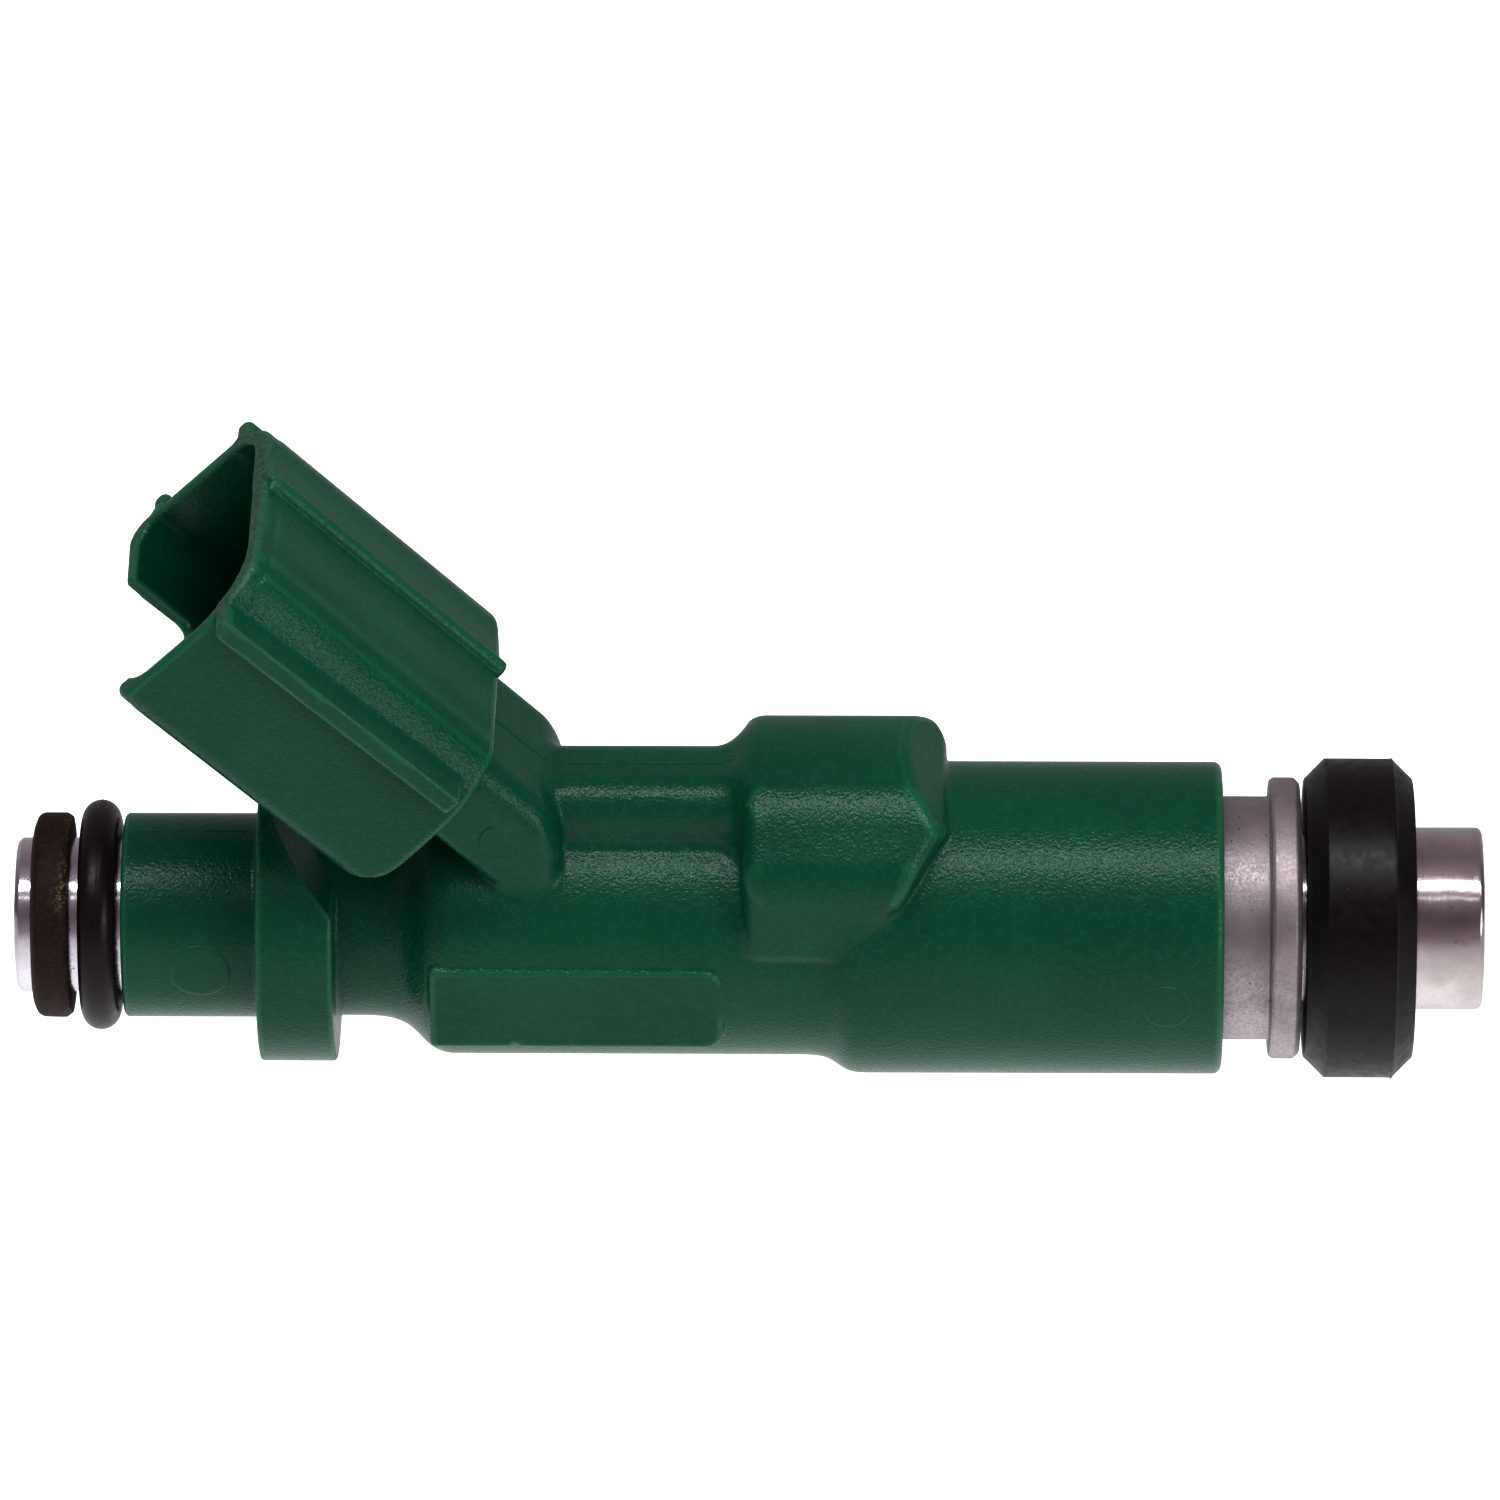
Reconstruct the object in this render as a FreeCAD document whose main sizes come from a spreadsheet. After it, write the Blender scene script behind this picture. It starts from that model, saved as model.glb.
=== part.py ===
import FreeCAD, Part
import os
import math
import Sketcher
from FreeCAD import Vector, Rotation, Placement

# Top-feed port fuel injector, side-angled two-way connector.
# Millimetres. X runs along the injector's axis towards the nozzle, Z is the side the connector is on,
# Y is across. The origin is on the axis, in the middle of the manifold grommet's round wall.
# Stations called u_... are distances from the inlet tip; radii are r_... .

os.makedirs("parts", exist_ok=True)
doc = FreeCAD.newDocument("fuel_injector")
sheet = doc.addObject("Spreadsheet::Sheet", "Sizes")

SIZES = [
    # overall
    ("originU", 68.93), ("tilt", 45.0),
    # inlet tube and fixed core
    ("coreTipChamferU", 0.22), ("coreTipR", 3.76), ("coreR", 3.97), ("coreStepU", 20.0), ("coreLowR", 3.0),
    ("coreEndU", 52.0), ("filterBoreR", 2.9), ("filterBoreU", 12.0), ("springBoreR", 1.6), ("zero", 0.0),
    # back-up ring
    ("ringU0", 0.84), ("ringU1", 1.0), ("ringU2", 1.5), ("ringU3", 2.74), ("ringU4", 2.80),
    ("ringR0", 4.60), ("ringR1", 5.00), ("ringR2", 5.28), ("ringR3", 5.20),
    # rail O-ring
    ("railSealU", 4.27), ("railSealMeanR", 4.95), ("railSealWireR", 0.98),
    # overmould, turned outline
    ("ovU0", 5.51), ("ovU1", 5.71), ("ovTubeR0", 5.05), ("ovTubeR", 5.25), ("collarU0", 12.51), ("collarU1", 16.43), ("collarR", 7.42),
    ("neckR", 5.15), ("neckU", 18.85), ("shoulderU0", 20.1), ("shoulderR0", 5.7), ("shoulderU1", 20.9), ("shoulderR1", 6.8), ("midU", 21.6), ("midR", 7.0),
    ("midEndU", 41.3), ("bigU", 42.9), ("bigR", 8.03), ("bigEndU0", 61.5), ("bigEndU", 61.9), ("bigEndR", 7.63),
    # yoke housing
    ("yokeU0", 45.0), ("yokeR", 6.26), ("yokeInR", 5.36), ("yokeFloorU", 60.5), ("yokeNeckU", 64.3), ("yokeFlangeU", 65.89), ("yokeFlangeR", 7.24), ("yokeBoreR", 4.2),
    ("yokeEdgeU", 65.59), ("yokeEdgeR", 6.94), ("yokeEdgeU0", 64.5), ("yokeEdgeR0", 7.04),
    # flux washer
    ("washerU0", 44.0),
    # bobbin and winding
    ("bobU0", 46.0), ("bobU1", 46.8), ("bobU2", 58.2), ("bobU3", 59.0), ("bobHubR", 3.75), ("bobR", 5.3), ("windR", 5.15),
    ("towerHalf", 3.0), ("towerEndU", 47.4), ("towerZ0", 4.6), ("towerZ1", 8.0),
    # sleeves and seals
    ("sleeveR", 3.35), ("sleeveEndU", 61.6), ("coilSealWireR", 0.45), ("coilSealAU", 45.5), ("coilSealAR", 3.45), ("coilSealBU", 59.5), ("coilSealBR", 3.81),
    # valve body
    ("vbU0", 60.1), ("vbR", 4.2), ("vbBoreR", 2.6), ("vbPocketU", 68.4), ("vbPocketR", 3.6), ("vbEndU", 74.79),
    # stop plate, seat, orifice plate
    ("stopU1", 69.0), ("stopHoleR", 1.25), ("seatBoreU", 70.4), ("seatCounterR", 2.3), ("seatGuideR", 1.55), ("seatConeU0", 73.18), ("seatConeU1", 74.23),
    ("seatHoleR", 0.5), ("plateU0", 74.49), ("sprayR", 0.16), ("sprayPitchR", 0.62),
    # moving parts
    ("armU0", 52.13), ("armU1", 55.5), ("armU2", 58.5), ("armR", 2.95), ("needleR", 1.0), ("needleU0", 56.0), ("needleU1", 71.482), ("needleHoleR", 0.55), ("needleHoleU", 66.0),
    ("needleCollarU0", 69.08), ("needleCollarU1", 69.9), ("needleCollarR", 2.0), ("crossHoleR", 0.45), ("crossHoleU", 64.8),
    ("ballU", 72.6), ("ballR", 1.5), ("ballFlatDeg", 48.19),
    # adjusting pipe and spring
    ("pipeU0", 36.0), ("pipeU1", 46.5), ("pipeInR", 1.0), ("springR", 1.28), ("springWireR", 0.21), ("springTurns", 9.0),
    # inlet filter
    ("filtCollarU0", 0.5), ("filtCollarU1", 3.0), ("filtCollarInR", 2.4), ("filtRingU1", 3.8), ("filtRingR", 2.6), ("meshR", 2.05), ("meshInR", 1.95), ("filtCapU0", 10.4), ("filtCapU1", 11.2),
    ("ribWide", 0.6), ("ribR", 2.5),
    # nozzle sleeve
    ("nozU0", 65.89), ("nozR", 4.69), ("nozSeatR", 4.32), ("nozBeadU", 71.71), ("nozEndU", 75.29), ("nozEndU0", 75.04), ("nozEndR", 4.44), ("nozLipR", 2.6),
    # grommet
    ("grU0", 66.15), ("grU1", 67.2), ("grU2", 70.66), ("grU3", 71.71), ("grR0", 7.19), ("grR", 8.24),
    # connector shroud, in its own frame: along the connector's axis from the mouth, across, and up
    ("mouthU", 9.54), ("mouthZ", 21.89), ("shLong", 16.3), ("shHalf", 7.8), ("shTop", 5.45), ("shLow", 5.3), ("shWall", 0.75), ("shDeep", 13.2),
    ("stepTop", 5.82), ("stepY0", 1.9), ("stepY1", 5.6), ("slotDeep", 3.9), ("skirtRoom", 2.4), ("slotY0", 5.1), ("slotY1", 4.5),
    ("ribNearOut", 9.65), ("ribNearZ0", 2.2), ("ribNearZ1", 3.25), ("ribLong", 15.8), ("ribFarOut", 9.0), ("ribFarAZ0", 3.3), ("ribFarAZ1", 4.1), ("ribFarBOut", 9.1), ("ribFarBZ0", -2.9), ("ribFarBZ1", -2.1),
    ("cornerBig", 3.4), ("cornerSmall", 0.9), ("cornerInBig", 2.7), ("cornerInSmall", 0.5),
    # connector neck block, rail and terminal hump
    ("neckHalf", 4.4), ("neckRightU", 27.45), ("railHalf", 3.0), ("railTop", 9.54), ("railU0", 27.2), ("railU1", 38.5), ("railRound", 2.0),
    ("humpU0", 37.75), ("humpU1", 46.2), ("humpU2", 48.3), ("humpLowU", 42.8), ("humpTop", 10.6), ("humpTopEdgeZ", 9.85), ("humpTopHalf", 3.95), ("humpHalf", 7.05), ("humpSideZ", 6.75), ("humpLowZ", 2.15),
    # flat pads on both sides
    ("padU0", 21.6), ("padU1", 36.2), ("padY", 7.05), ("padZ0", -3.33), ("padZ1", 1.53),
    # terminals
    ("bladeTip", 7.0), ("bladeEnd", 15.0), ("bladeY0", 1.2), ("bladeY1", 3.5), ("bladeThick", 0.64), ("stripY0", 0.9), ("stripY1", 2.3), ("stripZ", 8.3), ("stripEndU", 47.2), ("shankStart", 14.0),
]
for row, (name, value) in enumerate(SIZES, start=1):
    sheet.set("A%d" % row, name)
    sheet.set("B%d" % row, repr(float(value)))
    sheet.setAlias("B%d" % row, name)
doc.recompute()
S = {name: float(value) for name, value in SIZES}
AXIAL = Rotation(Vector(0, 1, 0), 90)            # turns a primitive's Z onto +X
ORIGIN = S["originU"]


def ref(name):
    return "Sizes." + name


def turned(label, outline):
    """A turned piece: a closed outline of (station, radius) cells, revolved about the injector's axis."""
    body = doc.addObject("PartDesign::Body", label + "_body")
    body.Label = label
    sketch = body.newObject("Sketcher::SketchObject", label + "_outline")
    plane = [f for f in body.Origin.OriginFeatures if f.Role == "XY_Plane"][0]
    sketch.AttachmentSupport = [(plane, "")]
    sketch.MapMode = "FlatFace"
    n = len(outline)
    for i in range(n):
        a, b = outline[i], outline[(i + 1) % n]
        sketch.addGeometry(Part.LineSegment(Vector(S[a[0]], S[a[1]], 0), Vector(S[b[0]], S[b[1]], 0)), False)
    for i in range(n):
        sketch.addConstraint(Sketcher.Constraint("Coincident", i, 2, (i + 1) % n, 1))
    for i, (cu, cr) in enumerate(outline):
        for kind, cell in (("DistanceX", cu), ("DistanceY", cr)):
            if S[cell] == 0.0:
                # a point on one of the sketch's own axes
                sketch.addConstraint(Sketcher.Constraint("PointOnObject", i, 1, -2 if kind == "DistanceX" else -1))
            else:
                index = sketch.addConstraint(Sketcher.Constraint(kind, -1, 1, i, 1, S[cell]))
                sketch.setExpression("Constraints[%d]" % index, ref(cell))
    rev = body.newObject("PartDesign::Revolution", label + "_turn")
    rev.Profile = sketch
    rev.ReferenceAxis = (sketch, ["H_Axis"])
    rev.Angle = 360.0
    body.Tip = rev
    body.setExpression("Placement.Base.x", "-" + ref("originU"))
    return body


def cylinder_x(label, u, length, radius):
    """A cylinder along the axis from station u; each size is a sheet expression."""
    c = doc.addObject("Part::Cylinder", label)
    c.Placement = Placement(Vector(0, 0, 0), AXIAL)
    c.setExpression("Radius", radius)
    c.setExpression("Height", length)
    c.setExpression("Placement.Base.x", u + " - " + ref("originU"))
    return c


def box(label, x, y, z, lx, ly, lz, tilted=False):
    """A box from its corner; in the connector's own frame when tilted is set."""
    b = doc.addObject("Part::Box", label)
    b.setExpression("Length", lx)
    b.setExpression("Width", ly)
    b.setExpression("Height", lz)
    if tilted:
        b.Placement = Placement(Vector(0, 0, 0), Rotation(Vector(0, 1, 0), S["tilt"]))
        b.setExpression("Placement.Rotation.Angle", ref("tilt"))
        b.setExpression("Placement.Base.x", "%s - %s + (%s) * cos(%s * 1 deg) + (%s) * sin(%s * 1 deg)" % (ref("mouthU"), ref("originU"), x, ref("tilt"), z, ref("tilt")))
        b.setExpression("Placement.Base.y", y)
        b.setExpression("Placement.Base.z", "%s - (%s) * sin(%s * 1 deg) + (%s) * cos(%s * 1 deg)" % (ref("mouthZ"), x, ref("tilt"), z, ref("tilt")))
    else:
        b.setExpression("Placement.Base.x", x)
        b.setExpression("Placement.Base.y", y)
        b.setExpression("Placement.Base.z", z)
    return b


def combine(kind, label, pieces):
    f = doc.addObject(kind, label)
    f.Shapes = pieces
    return f


def cut(label, base, tool):
    c = doc.addObject("Part::Cut", label)
    c.Base = base
    c.Tool = tool
    return c


def ring(label, u, mean, wire):
    """A round-section ring about the axis."""
    t = doc.addObject("Part::Torus", label)
    t.Placement = Placement(Vector(0, 0, 0), AXIAL)
    t.setExpression("Radius1", ref(mean))
    t.setExpression("Radius2", ref(wire))
    t.setExpression("Placement.Base.x", ref(u) + " - " + ref("originU"))
    t.Label = label
    return t


def outline_block(label, plane, outline, across0, across1):
    """A straight-sided block: a closed outline of (cell or number, cell or number) in the plane, extruded across it both ways."""
    sketch = doc.addObject("Sketcher::SketchObject", label + "_outline")
    if plane == "XZ":
        # sketch x = +X, sketch y = +Z, normal = -Y
        sketch.Placement = Placement(Vector(0, 0, 0), Rotation(Vector(1, 0, 0), 90))
    else:
        # YZ plane: sketch x = +Y, sketch y = +Z, normal = +X
        sketch.Placement = Placement(Vector(0, 0, 0), Rotation(Vector(1, 1, 1), 120))
    n = len(outline)
    for i in range(n):
        a, b = outline[i], outline[(i + 1) % n]
        sketch.addGeometry(Part.LineSegment(Vector(a[0], a[1], 0), Vector(b[0], b[1], 0)), False)
    for i in range(n):
        sketch.addConstraint(Sketcher.Constraint("Coincident", i, 2, (i + 1) % n, 1))
    ex = doc.addObject("Part::Extrusion", label)
    ex.Base = sketch
    ex.DirMode = "Normal"
    ex.LengthFwd = across1
    ex.LengthRev = across0
    ex.Solid = True
    return ex


def fillet_edges(label, base, picks):
    """Rounds the straight edges of base whose middle lies at the picked places: (test, radius)."""
    doc.recompute()
    f = doc.addObject("Part::Fillet", label)
    f.Base = base
    chosen = []
    for i, e in enumerate(base.Shape.Edges, start=1):
        mid = e.valueAt((e.FirstParameter + e.LastParameter) / 2)
        for test, radius in picks:
            if test(e, mid):
                chosen.append((i, radius, radius))
                break
    if not chosen:
        raise RuntimeError("no edge to round on " + label)
    f.Edges = chosen
    return f


def local(p):
    """A point of the part's frame in the connector's own frame."""
    a = math.radians(S["tilt"])
    dx, dz = p.x - (S["mouthU"] - ORIGIN), p.z - S["mouthZ"]
    return Vector(dx * math.cos(a) - dz * math.sin(a), p.y, dx * math.sin(a) + dz * math.cos(a))


def frame_point(s, b):
    """(x, z) in the part's frame of a point of the connector's own frame."""
    a = math.radians(S["tilt"])
    return (S["mouthU"] - ORIGIN + s * math.cos(a) + b * math.sin(a), S["mouthZ"] - s * math.sin(a) + b * math.cos(a))


# ------------------------------------------------------------------ turned pieces
parts = {}
parts["inlet_core"] = turned("inlet_core", [("zero", "filterBoreR"), ("zero", "coreTipR"), ("coreTipChamferU", "coreR"), ("coreStepU", "coreR"), ("coreStepU", "coreLowR"),
                                            ("coreEndU", "coreLowR"), ("coreEndU", "springBoreR"), ("filterBoreU", "springBoreR"), ("filterBoreU", "filterBoreR")])
parts["backup_ring"] = turned("backup_ring", [("ringU0", "coreR"), ("ringU0", "ringR0"), ("ringU1", "ringR1"), ("ringU2", "ringR2"), ("ringU3", "ringR2"), ("ringU4", "ringR3"), ("ringU4", "coreR")])
parts["flux_blank"] = turned("flux_blank", [("washerU0", "coreLowR"), ("washerU0", "yokeR"), ("yokeU0", "yokeR"), ("yokeU0", "coreLowR")])
parts["yoke_blank"] = turned("yoke_blank", [("yokeU0", "yokeInR"), ("yokeU0", "yokeR"), ("yokeNeckU", "yokeR"), ("yokeNeckU", "yokeEdgeR0"), ("yokeEdgeU0", "yokeFlangeR"), ("yokeEdgeU", "yokeFlangeR"),
                                            ("yokeFlangeU", "yokeEdgeR"), ("yokeFlangeU", "yokeBoreR"), ("yokeFloorU", "yokeBoreR"), ("yokeFloorU", "yokeInR")])
parts["bobbin_blank"] = turned("bobbin_blank", [("bobU0", "sleeveR"), ("bobU0", "bobR"), ("bobU1", "bobR"), ("bobU1", "bobHubR"), ("bobU2", "bobHubR"), ("bobU2", "bobR"), ("bobU3", "bobR"), ("bobU3", "sleeveR")])
parts["coil_winding"] = turned("coil_winding", [("bobU1", "bobHubR"), ("bobU1", "windR"), ("bobU2", "windR"), ("bobU2", "bobHubR")])
parts["guide_sleeve"] = turned("guide_sleeve", [("bobU0", "coreLowR"), ("bobU0", "sleeveR"), ("sleeveEndU", "sleeveR"), ("sleeveEndU", "coreLowR")])
parts["valve_body"] = turned("valve_body", [("vbU0", "sleeveR"), ("vbU0", "vbR"), ("vbEndU", "vbR"), ("vbEndU", "vbPocketR"), ("vbPocketU", "vbPocketR"), ("vbPocketU", "vbBoreR"), ("sleeveEndU", "vbBoreR"), ("sleeveEndU", "sleeveR")])
parts["stop_plate"] = turned("stop_plate", [("vbPocketU", "stopHoleR"), ("vbPocketU", "vbPocketR"), ("stopU1", "vbPocketR"), ("stopU1", "stopHoleR")])
parts["valve_seat"] = turned("valve_seat", [("stopU1", "seatCounterR"), ("stopU1", "vbPocketR"), ("plateU0", "vbPocketR"), ("plateU0", "seatHoleR"), ("seatConeU1", "seatHoleR"), ("seatConeU0", "seatGuideR"), ("seatBoreU", "seatGuideR"), ("seatBoreU", "seatCounterR")])
parts["armature"] = turned("armature", [("armU0", "springBoreR"), ("armU0", "armR"), ("armU2", "armR"), ("armU2", "needleR"), ("armU1", "needleR"), ("armU1", "springBoreR")])
parts["needle_blank"] = turned("needle_blank", [("needleU0", "needleHoleR"), ("needleU0", "needleR"), ("needleCollarU0", "needleR"), ("needleCollarU0", "needleCollarR"), ("needleCollarU1", "needleCollarR"), ("needleCollarU1", "needleR"),
                                                ("needleU1", "needleR"), ("needleU1", "zero"), ("needleHoleU", "zero"), ("needleHoleU", "needleHoleR")])
parts["adjusting_pipe"] = turned("adjusting_pipe", [("pipeU0", "pipeInR"), ("pipeU0", "springBoreR"), ("pipeU1", "springBoreR"), ("pipeU1", "pipeInR")])
parts["filter_collar"] = turned("filter_collar", [("filtCollarU0", "filtCollarInR"), ("filtCollarU0", "filterBoreR"), ("filtCollarU1", "filterBoreR"), ("filtCollarU1", "filtCollarInR")])
parts["filter_mesh"] = turned("filter_mesh", [("filtCollarU1", "meshInR"), ("filtCollarU1", "meshR"), ("filtCapU0", "meshR"), ("filtCapU0", "meshInR")])
parts["nozzle_sleeve"] = turned("nozzle_sleeve", [("nozU0", "vbR"), ("nozU0", "nozSeatR"), ("nozBeadU", "nozSeatR"), ("nozBeadU", "nozR"), ("nozEndU0", "nozR"), ("nozEndU", "nozEndR"), ("nozEndU", "nozLipR"), ("vbEndU", "nozLipR"), ("vbEndU", "vbR")])
parts["lower_grommet"] = turned("lower_grommet", [("grU0", "nozSeatR"), ("grU0", "grR0"), ("grU1", "grR"), ("grU2", "grR"), ("grU3", "grR0"), ("grU3", "nozSeatR")])

# ------------------------------------------------------------------ round rings
parts["rail_o_ring"] = ring("rail_o_ring", "railSealU", "railSealMeanR", "railSealWireR")
parts["upper_coil_seal"] = ring("upper_coil_seal", "coilSealAU", "coilSealAR", "coilSealWireR")
parts["lower_coil_seal"] = ring("lower_coil_seal", "coilSealBU", "coilSealBR", "coilSealWireR")

# ------------------------------------------------------------------ flux washer and yoke: slotted for the bobbin's terminal tower
slot_washer = box("washer_slot", ref("washerU0") + " - 0.5 - " + ref("originU"), "-" + ref("towerHalf") + " - 0.05", ref("towerZ0") + " - 0.1",
                  "2", "2 * " + ref("towerHalf") + " + 0.1", "6")
parts["flux_washer"] = cut("flux_washer", parts.pop("flux_blank"), slot_washer)
slot_yoke = box("yoke_slot", ref("yokeU0") + " - 0.5 - " + ref("originU"), "-" + ref("towerHalf") + " - 0.05", ref("towerZ0") + " - 0.6",
                ref("towerEndU") + " - " + ref("yokeU0") + " + 0.55", "2 * " + ref("towerHalf") + " + 0.1", "6")
parts["yoke_housing"] = cut("yoke_housing", parts.pop("yoke_blank"), slot_yoke)

# ------------------------------------------------------------------ bobbin with its terminal tower
tower = box("bobbin_tower", ref("bobU0") + " - " + ref("originU"), "-" + ref("towerHalf"), ref("towerZ0"),
            ref("towerEndU") + " - " + ref("bobU0"), "2 * " + ref("towerHalf"), ref("towerZ1") + " - " + ref("towerZ0"))
winding_room = cylinder_x("tower_clearance", ref("bobU1"), ref("towerEndU") + " - " + ref("bobU1") + " + 0.2", ref("windR") + " + 0.02")
tower_cut = cut("bobbin_tower_cut", tower, winding_room)
parts["coil_bobbin"] = combine("Part::MultiFuse", "coil_bobbin", [parts.pop("bobbin_blank"), tower_cut])

# ------------------------------------------------------------------ needle: hollow, with a cross hole to let the fuel out
cross = doc.addObject("Part::Cylinder", "needle_cross_hole")
cross.setExpression("Radius", ref("crossHoleR"))
cross.Height = 4.0
cross.setExpression("Placement.Base.x", ref("crossHoleU") + " - " + ref("originU"))
cross.Placement.Base.z = -2.0
parts["needle"] = cut("needle", parts.pop("needle_blank"), cross)

# ------------------------------------------------------------------ valve ball, with the flat where it is welded to the needle
ball = doc.addObject("Part::Sphere", "valve_ball")
ball.setExpression("Radius", ref("ballR"))
ball.setExpression("Angle2", ref("ballFlatDeg"))
ball.Placement = Placement(Vector(0, 0, 0), Rotation(Vector(0, 1, 0), -90))
ball.setExpression("Placement.Base.x", ref("ballU") + " - " + ref("originU"))
parts["valve_ball"] = ball

# ------------------------------------------------------------------ orifice plate with four spray holes
plate_disc = cylinder_x("orifice_disc", ref("plateU0"), ref("vbEndU") + " - " + ref("plateU0"), ref("vbPocketR"))
holes = []
for i in range(4):
    hole = cylinder_x("spray_hole_%d" % i, ref("plateU0") + " - 1", "3", ref("sprayR"))
    hole.setExpression("Placement.Base.y", "%s * cos(%d deg)" % (ref("sprayPitchR"), 45 + 90 * i))
    hole.setExpression("Placement.Base.z", "%s * sin(%d deg)" % (ref("sprayPitchR"), 45 + 90 * i))
    holes.append(hole)
parts["orifice_plate"] = cut("orifice_plate", plate_disc, combine("Part::MultiFuse", "spray_holes", holes))

# ------------------------------------------------------------------ inlet filter's frame: ring, four ribs, end cap
filt_ring = turned("filter_frame_ring", [("filtCollarU1", "meshR"), ("filtCollarU1", "filtRingR"), ("filtRingU1", "filtRingR"), ("filtRingU1", "meshR")])
cap = cylinder_x("filter_cap", ref("filtCapU0"), ref("filtCapU1") + " - " + ref("filtCapU0"), ref("filtRingR"))
ribs = []
for i in range(4):
    rib = doc.addObject("Part::Box", "filter_rib_%d" % i)
    rib.setExpression("Length", ref("filtCapU0") + " - " + ref("filtCollarU1"))
    rib.setExpression("Width", ref("ribWide"))
    rib.setExpression("Height", ref("ribR") + " - " + ref("meshInR") + " + 0.05")
    rib.Placement = Placement(Vector(0, 0, 0), Rotation(Vector(1, 0, 0), 45 + 90 * i))
    a = math.radians(45 + 90 * i)
    # the rib's corner, turned with it about the axis
    rib.setExpression("Placement.Base.x", ref("filtCollarU1") + " - " + ref("originU"))
    rib.setExpression("Placement.Base.y", "-(%s / 2) * %.9f - (%s - 0.05) * %.9f" % (ref("ribWide"), math.cos(a), ref("meshInR"), math.sin(a)))
    rib.setExpression("Placement.Base.z", "-(%s / 2) * %.9f + (%s - 0.05) * %.9f" % (ref("ribWide"), math.sin(a), ref("meshInR"), math.cos(a)))
    ribs.append(rib)
mesh_room = cylinder_x("filter_mesh_room", ref("filtCollarU1"), ref("filtCapU0") + " - " + ref("filtCollarU1"), ref("meshR"))
parts["filter_frame"] = cut("filter_frame", combine("Part::MultiFuse", "filter_frame_all", [filt_ring, cap] + ribs), mesh_room)

# ------------------------------------------------------------------ return spring
spring = doc.addObject("Part::Feature", "return_spring")
length = S["armU1"] - S["pipeU1"] - 2 * S["springWireR"] - 0.02
helix = Part.makeHelix(length / S["springTurns"], length, S["springR"])
section = Part.Wire([Part.makeCircle(S["springWireR"], Vector(S["springR"], 0, 0), Vector(0, 1, 0))])
spring.Shape = Part.Wire(helix.Edges).makePipeShell([section], True, True)
spring.Placement = Placement(Vector(S["pipeU1"] + S["springWireR"] + 0.01 - ORIGIN, 0, 0), AXIAL)
parts["return_spring"] = spring

# ------------------------------------------------------------------ terminals: blade in the socket, shank through the neck, strip along the rail
for name, sign in (("terminal_near", -1), ("terminal_far", 1)):
    y_blade = ref("bladeY0") if sign > 0 else "-" + ref("bladeY1")
    y_strip = ref("stripY0") if sign > 0 else "-" + ref("stripY1")
    half = "(" + ref("bladeThick") + " / 2)"
    s_strip = "((" + ref("mouthZ") + " - " + ref("stripZ") + ") / sin(" + ref("tilt") + " * 1 deg))"
    blade = box(name + "_blade", ref("bladeTip"), y_blade, "-" + half, ref("bladeEnd") + " - " + ref("bladeTip"), ref("bladeY1") + " - " + ref("bladeY0"), ref("bladeThick"), tilted=True)
    doc.recompute()
    blade_tip = doc.addObject("Part::Chamfer", name + "_blade_tip")
    blade_tip.Base = blade
    tip_edges = []
    for i, e in enumerate(blade.Shape.Edges, start=1):
        q = [local(v.Point) for v in e.Vertexes]
        if all(abs(p.x - S["bladeTip"]) < 1e-6 for p in q) and abs(q[0].z - q[1].z) < 1e-6:
            tip_edges.append((i, 0.2, 0.5))
    # the two long edges of the tip get a lead-in
    blade_tip.Edges = [(i, 0.2, 0.2) for i, _, _ in tip_edges]
    shank = box(name + "_shank", ref("shankStart"), y_strip, "-" + half, s_strip + " - " + ref("shankStart"), ref("stripY1") + " - " + ref("stripY0"), ref("bladeThick"), tilted=True)
    # the strip starts where the connector's axis reaches the strip's height
    strip = box(name + "_strip", ref("mouthU") + " + (" + ref("mouthZ") + " - " + ref("stripZ") + ") / tan(" + ref("tilt") + " * 1 deg) - 0.3 - " + ref("originU"), y_strip, ref("stripZ") + " - 0.3",
                ref("stripEndU") + " - " + ref("mouthU") + " - (" + ref("mouthZ") + " - " + ref("stripZ") + ") / tan(" + ref("tilt") + " * 1 deg) + 0.3", ref("stripY1") + " - " + ref("stripY0"), "0.6")
    parts[name] = combine("Part::MultiFuse", name, [blade_tip, shank, strip])

# ------------------------------------------------------------------ overmould
shell = turned("overmould_turned", [("ovU0", "zero"), ("ovU0", "ovTubeR0"), ("ovU1", "ovTubeR"), ("collarU0", "ovTubeR"), ("collarU0", "collarR"), ("collarU1", "collarR"), ("collarU1", "neckR"), ("neckU", "neckR"),
                                    ("shoulderU0", "shoulderR0"), ("shoulderU1", "shoulderR1"), ("midU", "midR"), ("midEndU", "midR"), ("bigU", "bigR"), ("bigEndU0", "bigR"), ("bigEndU", "bigEndR"), ("bigEndU", "zero")])
# clearance for the plug's skirt: the collar's upper corner is cut parallel with the connector
skirt_room = box("collar_skirt_cut", "0", "-10", "-" + ref("shLow") + " - " + ref("skirtRoom"), "17.5", "20", ref("skirtRoom"), tilted=True)
shell_cut = cut("overmould_collar", shell, skirt_room)
# the inlet tube and neck stay whole under that clearance
tube_core = cylinder_x("overmould_neck_core", ref("ovU1"), ref("midU") + " - " + ref("ovU1"), ref("neckR"))

shroud_box = box("shroud_outer", "0", "-" + ref("shHalf"), "-" + ref("shLow"), ref("shLong"), "2 * " + ref("shHalf"), ref("shLow") + " + " + ref("shTop"), tilted=True)


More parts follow.
